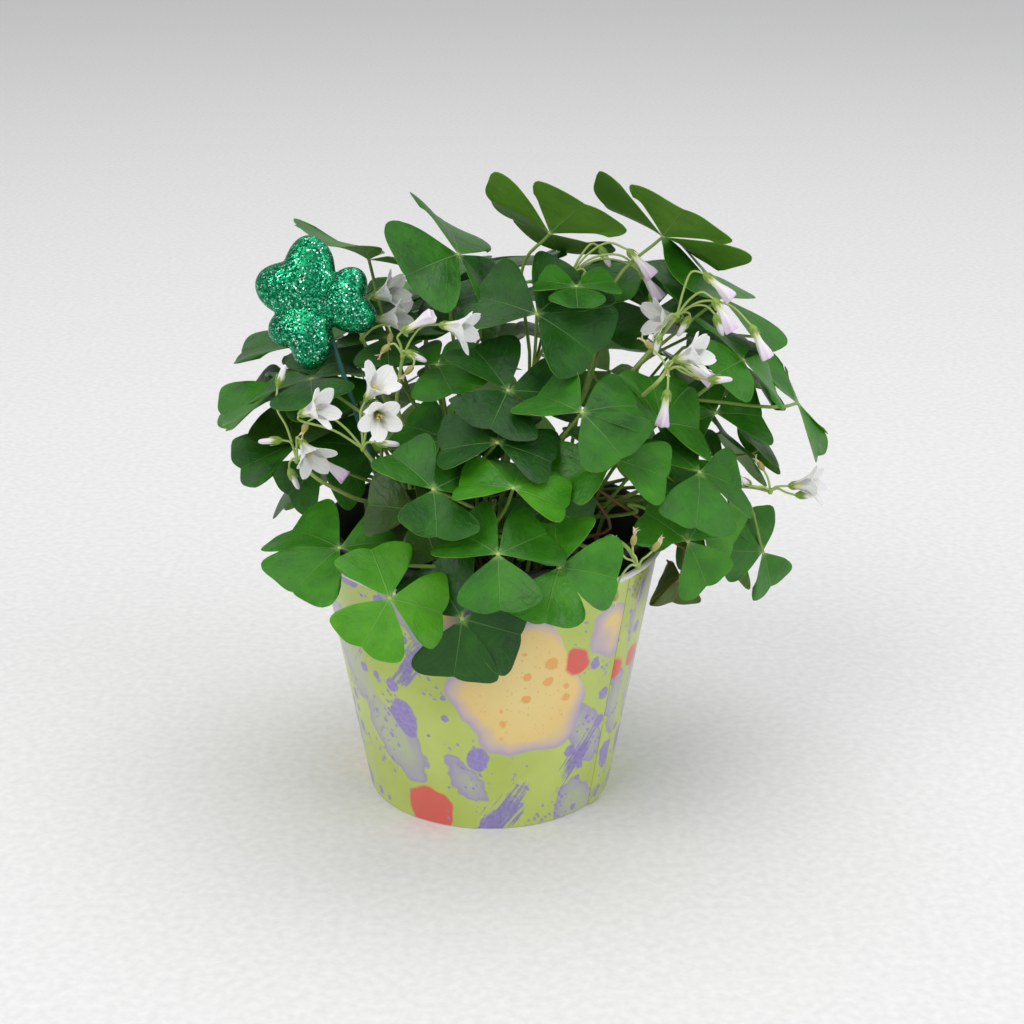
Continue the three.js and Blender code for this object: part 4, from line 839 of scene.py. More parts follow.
def add_calyx(shape, flower, length, radius):
    """Five narrow green sepals that hug the foot of the flower."""
    side, other = square_to(flower.aim)
    t = np.linspace(0, 1, 7)[:, None]
    w = np.linspace(-1, 1, 5)[None]
    for i in range(PETALS):
        turn = 2 * np.pi * (i + 0.5) / PETALS
        radial = side * np.cos(turn) + other * np.sin(turn)
        flat = np.cross(flower.aim, radial)
        # A sepal is widest a third of the way up, narrows to a point and bulges out over its lower half.
        half = 0.62 * radius * np.sin(np.pi * (0.25 + 0.72 * t)) * (1 - 0.75 * t ** 3)
        r = 0.45 + radius * np.sin(np.pi * 0.5 * np.minimum(1, t * 2.2)) * 0.85 + 0.25 * t
        x = half * w
        r = r - x * x / (2 * radius + 0.5)
        middle = (flower.base + flower.aim * (length * t)[..., None] + radial * r[..., None]
                  + flat * x[..., None])
        add_plate(shape, middle, THICK["sepal"], "calyx", "calyx", share_uv(t, w), PLAIN)


def add_open_flower(shape, flower, rng):
    """A white funnel whose five petals overlap in the tube and spread at the mouth, with stamens in it."""
    length, reach = FLOWER["open"]["length"], FLOWER["open"]["reach"]
    side, other = square_to(flower.aim)
    t = (1 - np.cos(np.linspace(0, np.pi, 17)))[:, None] / 2
    t = np.minimum(t, 0.992)
    w = np.linspace(-1, 1, 9)[None]
    # Petals part from a third of the way up, and round off over the last quarter.
    opens = smoothstep(t, 0.35, 0.7)
    tapers = np.sqrt(np.maximum(0.004, 1 - np.clip((t - 0.72) / 0.28, 0, 1) ** 2.4))
    for i in range(PETALS):
        turn = 2 * np.pi * (i + rng.uniform(-OPEN["turn"], OPEN["turn"])) / PETALS
        radial = side * np.cos(turn) + other * np.sin(turn)
        flat = np.cross(flower.aim, radial)
        spread = reach * rng.uniform(*OPEN["spread"])
        # The tube widens from 0.9 to 2.5 mm, then flares, and the tips bend back a little.
        flare = np.clip((t - 0.3) / 0.7, 0, 1) ** 1.5
        r = 0.9 + 1.6 * smoothstep(t, 0, 0.4) + (spread - OPEN["tube"]) * flare
        z = length * (t - 0.06 * smoothstep(t, 0.6, 1))
        half = (0.75 * r) * (1 - opens) + OPEN["half_width"] * opens
        half = half * tapers
        x = half * w
        bow = np.minimum(r, OPEN["dish"]) + 3 * smoothstep(t, 0.5, 1)
        dip = bow - np.sqrt(np.maximum(bow ** 2 - x ** 2, 0.01))
        ruffle = OPEN["ruffle"] * np.sin(3 * w + rng.uniform(0, ANY_PHASE)) * smoothstep(t, 0.6, 1)
        every_other = i % 2            # these petals lie further out, and their stamens are longer
        middle = (flower.base + flower.aim * (z + ruffle)[..., None]
                  + radial * (r - dip + OPEN["outer"] * every_other)[..., None] + flat * x[..., None])
        add_plate(shape, middle, THICK["petal"], "petal", "petal", share_uv(t, w), (0, 0, 0))
        tip = flower.base + flower.aim * (0.52 + 0.05 * every_other) * length + radial * 0.9
        foot = flower.base + flower.aim * 0.2 * length + radial * 0.4
        add_tube(shape, np.linspace(foot, tip, 3), OPEN["thread"], 5, "anther")
        add_ball(shape, tip, flower.aim, OPEN["anther"], "anther", sides=6, rings=3)
    add_calyx(shape, flower, *OPEN["calyx"])


def add_furled(shape, flower, rng, finish, tone):
    """A furled body: rings with five soft lobes that twist about the axis, closed at both ends."""
    form = FURLED[flower.kind]
    side, other = square_to(flower.aim)
    profile = np.array(form["profile"], float)
    z, r = profile[:, :1], profile[:, 1:]
    a = np.linspace(0, 2 * np.pi, 20, endpoint=False)[None]
    phase = rng.uniform(0, ANY_PHASE)
    share = (z - z.min()) / (z.max() - z.min())
    lobes = 1 + form["lobe"] * share * np.cos(PETALS * (a - form["twist"] * share) + phase)
    wobble = 1 + 0.05 * np.sin(2 * a + 5 * share + phase)
    radius = r * lobes * wobble
    rings = (flower.base + flower.aim * np.broadcast_to(z, radius.shape)[..., None]
             + side * (radius * np.cos(a))[..., None] + other * (radius * np.sin(a))[..., None])
    ends = [flower.base + flower.aim * (z[0, 0] - 0.2), flower.base + flower.aim * (z[-1, 0] + 0.2)]
    add_rings(shape, rings, ends, finish, ring_uv(share, a[0] / (2 * np.pi)), (tone, 0, 0))


def add_furled_flower(shape, flower, rng):
    form = FURLED[flower.kind]
    add_furled(shape, flower, rng, "petal", rng.uniform(*form["flush"]))
    add_calyx(shape, flower, *form["calyx"])


def add_seed_head(shape, flower, rng):
    """A spent flower: a small green-brown capsule with three dried petals curled out of it."""
    add_furled(shape, flower, rng, "dried", 0.3)
    side, other = square_to(flower.aim)
    for i in range(3):
        turn = 2 * np.pi * i / 3 + rng.uniform(0, 2)
        way = side * np.cos(turn) + other * np.sin(turn)
        t = np.linspace(0, 1, 9)[:, None]
        bend = rng.uniform(1.0, 2.6)
        line = (flower.base + flower.aim * (4 + 4.6 * np.sin(t * 1.4)) + way * bend * t ** 2
                + np.cross(flower.aim, way) * 0.8 * np.sin(4 * t + i))
        w = np.linspace(-1, 1, 3)[None]
        half = 0.55 * np.sin(np.pi * (0.2 + 0.75 * t))[:, None]
        twist = (3 * t + i)[:, None]
        across = way * np.cos(twist) + np.cross(flower.aim, way) * np.sin(twist)
        middle = line[:, None] + across * half * w[..., None]
        add_plate(shape, middle, THICK["dried"], "dried", "dried", share_uv(t, w), (0.8, 0, 0))


ADD_FLOWER = dict(open=add_open_flower, closed=add_furled_flower, bud=add_furled_flower, seed=add_seed_head)


def add_umbel(shape, k, rng):
    """A flower head: its stalk, the knot where the flower stalks part, and its flowers."""
    umbel = umbels[k]
    add_stalk(shape, stalks[len(leaves.hub) + k].corners, SCAPE, (0.75, 0, 0))
    add_ball(shape, umbel.hub, np.array([0, 0, 1.0]), (1.4, 1.7), "calyx")
    for flower in umbel.flowers:
        add_stalk(shape, flower.stalk, PEDICEL, (0.95, 0, 0))
        ADD_FLOWER[flower.kind](shape, flower, rng)


# ---- Pots and soil ----
ROUND = 128                            # segments round the pots
LEVELS = dict(outside=26, inside=6)    # rings of points up the card
PRINT_RADIUS = 0.5 * (COVER["base_radius"] + COVER["rim_radius"])   # the print's mm run round at this radius
BASE = dict(recess=1.2, ring=3, ring_inside=2.2, ring_height=0.2, edge=0.6)     # the cover's underside
POT_EDGE = dict(foot=1, foot_height=0.6, lip=0.4, lip_slope=(0.2, 0.8), top=0.5, inside=0.3, inside_drop=0.4)
CRUMBS = dict(count=320, reach=0.95, sunk=0.3, size=(0.7, 2.4), flatness=(0.5, 1), perlite_each=9)
NEAR_AXIS = 1e-3


def rolled_rim():
    """The card's rim, rolled outwards, as part of a circle of (radius, height)."""
    bead = COVER["bead"]
    centre = cover_radius(COVER["height"])
    turns = np.radians([-100, -60, -20, 20, 60, 100, 140, 170])
    return [(centre + bead * np.cos(t), COVER["height"] - bead + bead * np.sin(t)) for t in turns]


def make_pot_cover():
    """The cover: printed outside, white rolled rim, bare inside, and the lap where the card meets itself."""
    wall, floor, height, foot = COVER["wall"], COVER["floor"], COVER["height"], cover_radius(0)
    top = height - 2 * COVER["bead"]
    outside = [(cover_radius(z), z) for z in np.linspace(BASE["edge"], top, LEVELS["outside"])]
    inside = [(cover_radius(z) - wall, z) for z in np.linspace(top, floor, LEVELS["inside"])]
    base = [(NEAR_AXIS, BASE["recess"]), (foot - BASE["ring"], BASE["recess"]),
            (foot - BASE["ring_inside"], BASE["ring_height"]), (foot - BASE["edge"], 0), outside[0]]
    rim = [outside[-1], *rolled_rim(), inside[0]]
    seam = math.radians(SEAM["azimuth"])
    angle = np.linspace(0, 2 * np.pi, ROUND + 1)
    a = seam + angle
    shape = Shape()
    for profile, finish in ((base, "card_bare"), (outside, "card_print"), (rim, "card_bare"),
                            (inside, "card_bare"), ([inside[-1], (NEAR_AXIS, floor)], "card_bare")):
        r, z = np.array(profile, float).T[..., None]
        points = np.stack(np.broadcast_arrays(r * np.cos(a), r * np.sin(a), z), -1)
        shape.add(points, grid_faces(len(profile), ROUND + 1), finish, share_uv(angle * PRINT_RADIUS, z))
    half = (SEAM["width"] / cover_radius(height)) / 2
    t = np.linspace(-half, half, 9)
    z = np.linspace(1, top - 0.5, LEVELS["outside"])[:, None]
    # The lap stands proud of the card, and its two edges slope down to it.
    r = cover_radius(z) + 0.02 + SEAM["lap"] * np.clip((half - np.abs(t)) / (0.12 * half), 0, 1) ** 0.5
    lap = np.stack([r * np.cos(seam + t), r * np.sin(seam + t), np.broadcast_to(z, r.shape)], -1)
    uv = share_uv((t + half + 0.2) * PRINT_RADIUS, z)
    add_plate(shape, lap, 0.3, "card_print", "card_print", uv, (0, 0, 0))
    shape.build("pot_cover_shell", "pot_cover", "printed_card")


def pot_radius(z):
    return POT["base_radius"] + (POT["rim_radius"] - POT["lip"] - POT["base_radius"]) * z / POT["height"]


def make_nursery_pot():
    """The thin pot, with a lip round its rim and drain holes in its floor."""
    wall, floor, height, edge = POT["wall"], POT["floor"], POT["height"], POT_EDGE
    foot, rim, lip = pot_radius(0), pot_radius(height), pot_radius(height) + POT["lip"]
    under_lip = height - POT["lip_height"]
    profile = [(0, 0), (foot - edge["foot"], 0), (foot, edge["foot_height"]),
               (pot_radius(under_lip), under_lip), (lip - edge["lip"], under_lip + edge["lip_slope"][0]),
               (lip, under_lip + edge["lip_slope"][1]), (lip, height - edge["top"]),
               (lip - edge["top"], height), (rim - wall + edge["inside"], height),
               (rim - wall, height - edge["inside_drop"]), (pot_radius(floor) - wall, floor), (0, floor)]
    shape = Shape()
    add_turned(shape, [(r, z + POT_FLOOR) for r, z in profile], ROUND, "black_plastic")
    pot = shape.build("nursery_pot_shell", "nursery_pot", "black_plastic")
    # The drain holes are cut by rods, joined into one cutter that is then thrown away.
    rods = Shape()
    for k in range(DRAIN["count"]):
        a = 2 * math.pi * (k + 0.5) / DRAIN["count"]
        x, y = DRAIN["ring"] * math.cos(a), DRAIN["ring"] * math.sin(a)
        add_tube(rods, [(x, y, POT_FLOOR - 3), (x, y, POT_FLOOR), (x, y, POT_FLOOR + floor + 3)],
                 DRAIN["radius"], 32, "black_plastic")
    cutter = link("drain_cutter", rods.mesh("drain_cutter"))
    holes = pot.modifiers.new("holes", "BOOLEAN")
    holes.object, holes.operation, holes.solver = cutter, "DIFFERENCE", "EXACT"
    apply_modifiers(pot)
    bpy.data.objects.remove(cutter)


def soil_reach(z):
    """The soil's radius at a height: that of the pot inside, less a small gap."""
    return pot_radius(z - POT_FLOOR) - POT["wall"] - 2 * GAP


def make_soil(rng):
    """Potting soil: an uneven top with crumbs on it, and plain sides within the pot."""
    low, high = POT_FLOOR + POT["floor"] + GAP, SOIL["top"]
    rings, segments = 36, 96
    r = np.linspace(1, 0.02, rings)[:, None]
    a = np.linspace(0, 2 * np.pi, segments, endpoint=False)[None]
    x, y = soil_reach(high) * r * np.cos(a), soil_reach(high) * r * np.sin(a)
    bump = np.zeros_like(x)
    # Bumps from 90 down to 6 mm long, and their heights.
    for waves, height in ((0.07, 0.9), (0.19, 0.5), (0.47, 0.35), (1.1, 0.25)):
        p, q, s, t = rng.uniform(0, ANY_PHASE, 4)
        bump += (height * np.sin(waves * x + p + 1.7 * np.sin(waves * y + q))
                 * np.sin(waves * y + s + np.sin(waves * x + t)))
    z = high - SOIL["relief"] * smoothstep(r, 0.6, 1) + bump * (1 - smoothstep(r, 0.9, 1))
    top = np.vstack([np.stack([x, y, z], -1).reshape(-1, 3), [[0, 0, high]]])
    n = rings * segments
    shape = Shape()
    shape.add(top, grid_faces(rings, segments, closed=True), "soil", top[:, :2])
    shape.join(fan(n - segments, segments, n), "soil")
    wide = np.array([[soil_reach(low)], [soil_reach(high)]])
    side = np.stack(np.broadcast_arrays(wide * np.cos(a), wide * np.sin(a),
                                        [[low], [high - SOIL["relief"]]]), -1)
    side = np.vstack([side.reshape(-1, 3), [[0, 0, low]]])
    shape.add(side, grid_faces(2, segments, closed=True), "soil", side[:, :2])
    shape.join(fan(0, segments, 2 * segments, flip=True), "soil")
    for i in range(CRUMBS["count"]):
        distance = soil_reach(high) * CRUMBS["reach"] * math.sqrt(rng.uniform())
        angle = rng.uniform(0, ANY_PHASE)
        where = np.array([distance * math.cos(angle), distance * math.sin(angle), high - CRUMBS["sunk"]])
        lump = rng.uniform(*CRUMBS["size"])
        add_ball(shape, where, unit(rng.normal(size=3)), (lump, lump * rng.uniform(*CRUMBS["flatness"])),
                 "perlite" if i % CRUMBS["perlite_each"] == 0 else "soil", sides=6, rings=3)
    shape.build("soil_surface", "soil", "potting_soil")


# ---- Sign ----
VOXEL = 0.8                            # mm, fine enough to keep the hearts' notches
FOAM = dict(round=64, levels=15, soften=0.5, passes=6)


def heart_rings(length):
    """A puffy heart with its point at the origin and its notch up, as rings of points from back to front, and
    the height of its middle."""
    t = np.linspace(0, 2 * np.pi, FOAM["round"], endpoint=False)
    # The outline, as shares of its length: 1.1 wide, and from its point at 0 to its lobes at 1.
    x = 0.55 * np.sign(np.sin(t)) * np.abs(np.sin(t)) ** 1.8
    y = 0.49 * np.cos(t) - 0.125 * np.cos(2 * t) - 0.047 * np.cos(3 * t) - 0.02 * np.cos(4 * t) + 0.588
    h = np.sin(np.linspace(-np.pi / 2, np.pi / 2, FOAM["levels"] + 2)[1:-1])[:, None]
    drawn_in = np.sqrt(1 - h * h) ** 0.9
    middle = 0.56
    rings = np.stack(np.broadcast_arrays(x * drawn_in * length, (middle + (y - middle) * drawn_in) * length,
                                         h * PICK["puff"]), -1)
    return rings, middle * length


def make_pick_head():
    """Three puffy hearts grown into one foam body: joined by a voxel remesh, then smoothed."""
    normal = facing(*PICK["facing"])
    point = np.array(PICK["top"], float) - STICK_AXIS * PICK["socket"]
    shape = Shape()
    for turn, scale in zip(PICK["turns"], PICK["scales"]):
        rings, middle = heart_rings(PICK["heart"] * scale)
        along = clockwise(up_of(normal), normal, turn)
        side = np.cross(along, normal)

        def placed(local):
            return (point + side * local[..., :1] + along * (local[..., 1:2] - PICK["sink"])
                    + normal * local[..., 2:])

        ends = placed(np.array([[0, middle, -PICK["puff"]], [0, middle, PICK["puff"]]]))
        add_rings(shape, placed(rings), ends, "glitter", flip=True)
    piece = shape.build("pick_head_foam", "pick_head", "glitter_foam")
    remesh = piece.modifiers.new("join", "REMESH")
    remesh.mode, remesh.voxel_size, remesh.use_smooth_shade = "VOXEL", VOXEL * MM, True
    smooth = piece.modifiers.new("soften", "SMOOTH")
    smooth.factor, smooth.iterations = FOAM["soften"], FOAM["passes"]
    apply_modifiers(piece)


def make_pick_stick():
    """The stick, from inside the foam to its sharpened foot in the soil."""
    start = np.array(PICK["top"], float) - STICK_AXIS * (PICK["socket"] - 2 - GAP)
    taper = np.ones(24)
    taper[-4:] = [0.9, 0.7, 0.45, 0.2]
    shape = Shape()
    add_tube(shape, np.linspace(start, PICK["foot"], len(taper)), PICK["radius"] * taper, 16, "stick")
    shape.build("pick_stick_rod", "pick_stick", "pick_stick")


# ---- Materials ----
def colour(hex_code):
    """A linear colour from a screen one, such as "#b3c06a"."""
    def linear(c):
        return c / 12.92 if c <= 0.04045 else ((c + 0.055) / 1.055) ** 2.4
    return (*[linear(int(hex_code[i:i + 2], 16) / 255) for i in (1, 3, 5)], 1)


def fill(tree, node, inputs):
    """Sets or links the inputs that a node shows, by name or by place among them."""
    shown = [s for s in node.inputs if s.enabled]
    for name, value in inputs.items():
        socket = shown[name] if isinstance(name, int) else next(s for s in shown if s.name == name)
        if isinstance(value, bpy.types.NodeSocket):
            tree.links.new(value, socket)
        else:
            socket.default_value = value


def add_node(tree, kind, inputs=None, stops=None, out=None, **settings):
    """Adds a node with its settings, fills its inputs and returns the output named, or the first shown."""
    made = tree.nodes.new(kind)
    for name, value in settings.items():
        setattr(made, name, value)
    if stops:
        ramp = made.color_ramp.elements
        while len(ramp) < len(stops):
            ramp.new(0.5)
        for element, (position, shade) in zip(ramp, stops):
            element.position, element.color = position, colour(shade)
    fill(tree, made, inputs or {})
    return made.outputs[out] if out else next((s for s in made.outputs if s.enabled), None)


def start_material(name, **shader):
    """A material with a Principled shader whose plain values are set on its own sockets."""
    made = bpy.data.materials.new(name)
    made.use_nodes = True
    tree = made.node_tree
    principled = tree.nodes["Principled BSDF"]
    fill(tree, principled, {socket.replace("_", " "): value for socket, value in shader.items()})
    return made, tree, principled


def per_metre(width):
    """The scale of a pattern whose marks are about so many mm wide, on coordinates in metres."""
    return 1 / (width * MM)


def leaf_material(name, shades, rib_shade, roughness, rib_strength, blush):
    """Living shamrock leaf, as grown: satin, mottled green from deep to lime by leaf, with a pale rib that
    thins out, faint side veins and cells that swell between them, so that the gloss breaks up softly."""
    made, tree, shader = start_material(name, IOR=1.42, Specular_IOR_Level=0.4,
                                        Subsurface_Weight=0.4, Subsurface_Radius=(0.5, 1.0, 0.2),
                                        Subsurface_Scale=0.8 * MM)
    tint = add_node(tree, "ShaderNodeAttribute", out="Vector", attribute_name="tint")
    tone, red, _ = add_node(tree, "ShaderNodeSeparateXYZ", {"Vector": tint}).node.outputs
    where = add_node(tree, "ShaderNodeTexCoord", out="Object")
    # Clouds of lighter and darker green, 14 mm wide, vary the gloss too.
    clouds = add_node(tree, "ShaderNodeTexNoise", {"Vector": where, "Scale": per_metre(14), "Detail": 3.0})
    shift = add_node(tree, "ShaderNodeMapRange", {"Value": clouds, "From Min": 0.3, "From Max": 0.7,
                                                  "To Min": -0.13, "To Max": 0.13})
    uneven = add_node(tree, "ShaderNodeMath", {0: tone, 1: shift}, operation="ADD", use_clamp=True)
    green = add_node(tree, "ShaderNodeValToRGB", {"Fac": uneven}, stops=shades)
    uv = add_node(tree, "ShaderNodeUVMap", uv_map="layout")
    along, side, _ = add_node(tree, "ShaderNodeSeparateXYZ", {"Vector": uv}).node.outputs
    off = add_node(tree, "ShaderNodeMath", {0: side}, operation="ABSOLUTE")
    # The rib is 1 mm wide at the hub and 0.2 mm at the notch, and the hub itself is palest.
    half_width = add_node(tree, "ShaderNodeMapRange", {"Value": along, "From Min": 0.0, "From Max": 30.0,
                                                       "To Min": 0.5, "To Max": 0.1})
    ribs = add_node(tree, "ShaderNodeMath", {0: off, 1: half_width}, operation="DIVIDE")
    ribs = add_node(tree, "ShaderNodeMapRange", {"Value": ribs, "From Min": 0.3, "From Max": 1.3,
                                                 "To Min": 1.0, "To Max": 0.0})
    hub = add_node(tree, "ShaderNodeMapRange", {"Value": along, "From Min": 0.8, "From Max": 3.5,
                                                "To Min": 0.8, "To Max": 0.0})
    pale = add_node(tree, "ShaderNodeMath", {0: ribs, 1: rib_strength}, operation="MULTIPLY")
    pale = add_node(tree, "ShaderNodeMath", {0: pale, 1: hub}, operation="MAXIMUM")
    # Side veins leave the rib at a slant, 4 mm apart and 0.6 mm wide, and wander by 3 mm.
    slant = add_node(tree, "ShaderNodeMath", {0: off, 1: -0.95, 2: along}, operation="MULTIPLY_ADD")
    wander = add_node(tree, "ShaderNodeTexNoise", {"Vector": where, "Scale": per_metre(6), "Detail": 2.0})
    slant = add_node(tree, "ShaderNodeMath", {0: wander, 1: 6.0, 2: slant}, operation="MULTIPLY_ADD")
    veins = add_node(tree, "ShaderNodeMath", {0: slant, 1: 2.0}, operation="PINGPONG")
    veins = add_node(tree, "ShaderNodeMapRange", {"Value": veins, "From Min": 0.0, "From Max": 0.3,
                                                  "To Min": 1.0, "To Max": 0.0})
    faint = add_node(tree, "ShaderNodeMath", {0: veins, 1: 0.14 * rib_strength}, operation="MULTIPLY")
    lines = add_node(tree, "ShaderNodeMath", {0: faint, 1: pale}, operation="MAXIMUM")
    veined = add_node(tree, "ShaderNodeMix", {"Factor": lines, "A": green, "B": colour(rib_shade)},
                      data_type="RGBA")
    flush = add_node(tree, "ShaderNodeMath", {0: red, 1: blush}, operation="MULTIPLY")
    body = add_node(tree, "ShaderNodeMix", {"Factor": flush, "A": veined, "B": colour("#6b3626")},
                    data_type="RGBA")
    # The blade dimples 9 mm wide. Its cells are drawn 2.4 mm wide; real ones are too fine to show.
    cells = add_node(tree, "ShaderNodeTexNoise", {"Vector": where, "Scale": per_metre(2.4), "Detail": 4.0})
    dimples = add_node(tree, "ShaderNodeTexNoise", {"Vector": where, "Scale": per_metre(9), "Detail": 2.0})
    relief = add_node(tree, "ShaderNodeMath", {0: dimples, 1: 4.0, 2: cells}, operation="MULTIPLY_ADD")
    relief = add_node(tree, "ShaderNodeMath", {0: veins, 1: -0.3, 2: relief}, operation="MULTIPLY_ADD")
    relief = add_node(tree, "ShaderNodeMath", {0: ribs, 1: -1.4, 2: relief}, operation="MULTIPLY_ADD")
    bump = add_node(tree, "ShaderNodeBump", {"Strength": 0.45, "Distance": 0.6 * MM, "Height": relief})
    gloss = add_node(tree, "ShaderNodeMapRange", {"Value": clouds, "From Min": 0.3, "From Max": 0.7,
                                                  "To Min": roughness - 0.08, "To Max": roughness + 0.08})
    fill(tree, shader, {"Base Color": body, "Roughness": gloss, "Normal": bump})
    return made


def stalk_material():
    """Juicy shamrock stalk, as grown: pale green with soft streaks, or brownish where the tint says so."""
    made, tree, shader = start_material("shamrock stalk as grown", Roughness=0.42, IOR=1.4)
    tint = add_node(tree, "ShaderNodeAttribute", out="Vector", attribute_name="tint")
    tone, red, _ = add_node(tree, "ShaderNodeSeparateXYZ", {"Vector": tint}).node.outputs
    where = add_node(tree, "ShaderNodeTexCoord", out="Object")
    streaks = add_node(tree, "ShaderNodeTexNoise", {"Vector": where, "Scale": per_metre(7.7), "Detail": 2.0})
    mixed = add_node(tree, "ShaderNodeMath", {0: streaks, 1: 0.35, 2: tone}, operation="MULTIPLY_ADD")
    green = add_node(tree, "ShaderNodeValToRGB", {"Fac": mixed},
                     stops=[(0.2, "#4f6b2a"), (0.7, "#7d9a45"), (1.0, "#a9bf6d")])
    body = add_node(tree, "ShaderNodeMix", {"Factor": red, "A": green, "B": colour("#7c5a3a")},
                    data_type="RGBA")
    bump = add_node(tree, "ShaderNodeBump", {"Strength": 0.2, "Distance": 0.3 * MM, "Height": streaks})
    fill(tree, shader, {"Base Color": body, "Normal": bump})
    return made


def calyx_material():
    """Sepal, as grown: fresh green that pales to the tip, with fine lengthwise ribs, about three on each."""
    made, tree, shader = start_material("shamrock sepal as grown", Roughness=0.5, IOR=1.4)
    uv = add_node(tree, "ShaderNodeUVMap", uv_map="layout")
    along, side, _ = add_node(tree, "ShaderNodeSeparateXYZ", {"Vector": uv}).node.outputs
    green = add_node(tree, "ShaderNodeValToRGB", {"Fac": along},
                     stops=[(0.0, "#8fae4a"), (0.6, "#7f9f3e"), (1.0, "#b9c47c")])
    ribs = add_node(tree, "ShaderNodeMath", {0: side, 1: 9.0}, operation="MULTIPLY")
    ribs = add_node(tree, "ShaderNodeMath", {0: ribs}, operation="SINE")
    bump = add_node(tree, "ShaderNodeBump", {"Strength": 0.3, "Distance": 0.2 * MM, "Height": ribs})
    fill(tree, shader, {"Base Color": green, "Normal": bump})
    return made


def petal_material():
    """Thin living petal: white, green-yellow down in the throat, with four or five faint lilac veins, and
    flushed lilac-pink towards furled tips by the tint."""
    made, tree, shader = start_material("shamrock petal as grown", Roughness=0.55, IOR=1.38,
                                        Sheen_Weight=0.15, Sheen_Roughness=0.4, Subsurface_Weight=0.6,
                                        Subsurface_Radius=(1.0, 1.0, 1.0), Subsurface_Scale=1.5 * MM)
    tint = add_node(tree, "ShaderNodeAttribute", out="Vector", attribute_name="tint")
    pink = add_node(tree, "ShaderNodeSeparateXYZ", {"Vector": tint}, out="X")
    uv = add_node(tree, "ShaderNodeUVMap", uv_map="layout")
    along, side, _ = add_node(tree, "ShaderNodeSeparateXYZ", {"Vector": uv}).node.outputs
    body = add_node(tree, "ShaderNodeValToRGB", {"Fac": along},
                    stops=[(0.0, "#a9bf5c"), (0.28, "#d5dda6"), (0.48, "#f1f0ea"), (1.0, "#f7f5f6")])
    veins = add_node(tree, "ShaderNodeMath", {0: side, 1: 14.0}, operation="MULTIPLY")
    veins = add_node(tree, "ShaderNodeMath", {0: veins}, operation="SINE")
    veined = add_node(tree, "ShaderNodeMapRange", {"Value": veins, "From Min": 0.4, "From Max": 1.0,
                                                   "To Min": 0.0, "To Max": 0.16})
    body = add_node(tree, "ShaderNodeMix", {"Factor": veined, "A": body, "B": colour("#d9d2e2")},
                    data_type="RGBA")
    flush = add_node(tree, "ShaderNodeMapRange", {"Value": along, "From Min": 0.35, "From Max": 0.95,
                                                  "To Min": 0.0, "To Max": 0.75})
    flush = add_node(tree, "ShaderNodeMath", {0: flush, 1: pink}, operation="MULTIPLY")
    body = add_node(tree, "ShaderNodeMix", {"Factor": flush, "A": body, "B": colour("#c9a2d2")},
                    data_type="RGBA")
    bump = add_node(tree, "ShaderNodeBump", {"Strength": 0.25, "Distance": 0.2 * MM, "Height": veins})
    fill(tree, shader, {"Base Color": body, "Normal": bump})
    return made


def dried_material():
    """Withered petal and seed capsule, dried on the plant: straw to pale brown, with wrinkles 1.4 mm wide."""
    made, tree, shader = start_material("withered shamrock flower", Roughness=0.75, IOR=1.45)
    tint = add_node(tree, "ShaderNodeAttribute", out="Vector", attribute_name="tint")
    tone = add_node(tree, "ShaderNodeSeparateXYZ", {"Vector": tint}, out="X")
    where = add_node(tree, "ShaderNodeTexCoord", out="Object")
    wrinkles = add_node(tree, "ShaderNodeTexNoise", {"Vector": where, "Scale": per_metre(1.43),
                                                     "Detail": 4.0})
    mixed = add_node(tree, "ShaderNodeMath", {0: wrinkles, 1: 0.6, 2: tone}, operation="MULTIPLY_ADD")
    body = add_node(tree, "ShaderNodeValToRGB", {"Fac": mixed},
                    stops=[(0.35, "#7f9247"), (0.75, "#b8a565"), (1.0, "#d8c9a0")])
    bump = add_node(tree, "ShaderNodeBump", {"Strength": 0.6, "Distance": 0.5 * MM, "Height": wrinkles})
    fill(tree, shader, {"Base Color": body, "Normal": bump})
    return made


def anther_material():
    """Stamens: soft yellow pollen on pale threads. Pollen is drawn 0.4 mm wide; real grains are too fine."""
    made, tree, shader = start_material("shamrock stamen with pollen", Roughness=0.8, IOR=1.4)
    where = add_node(tree, "ShaderNodeTexCoord", out="Object")
    grains = add_node(tree, "ShaderNodeTexNoise", {"Vector": where, "Scale": per_metre(0.4)})
    body = add_node(tree, "ShaderNodeValToRGB", {"Fac": grains}, stops=[(0.3, "#c9b23c"), (0.7, "#ece08a")])
    fill(tree, shader, {"Base Color": body})
    return made


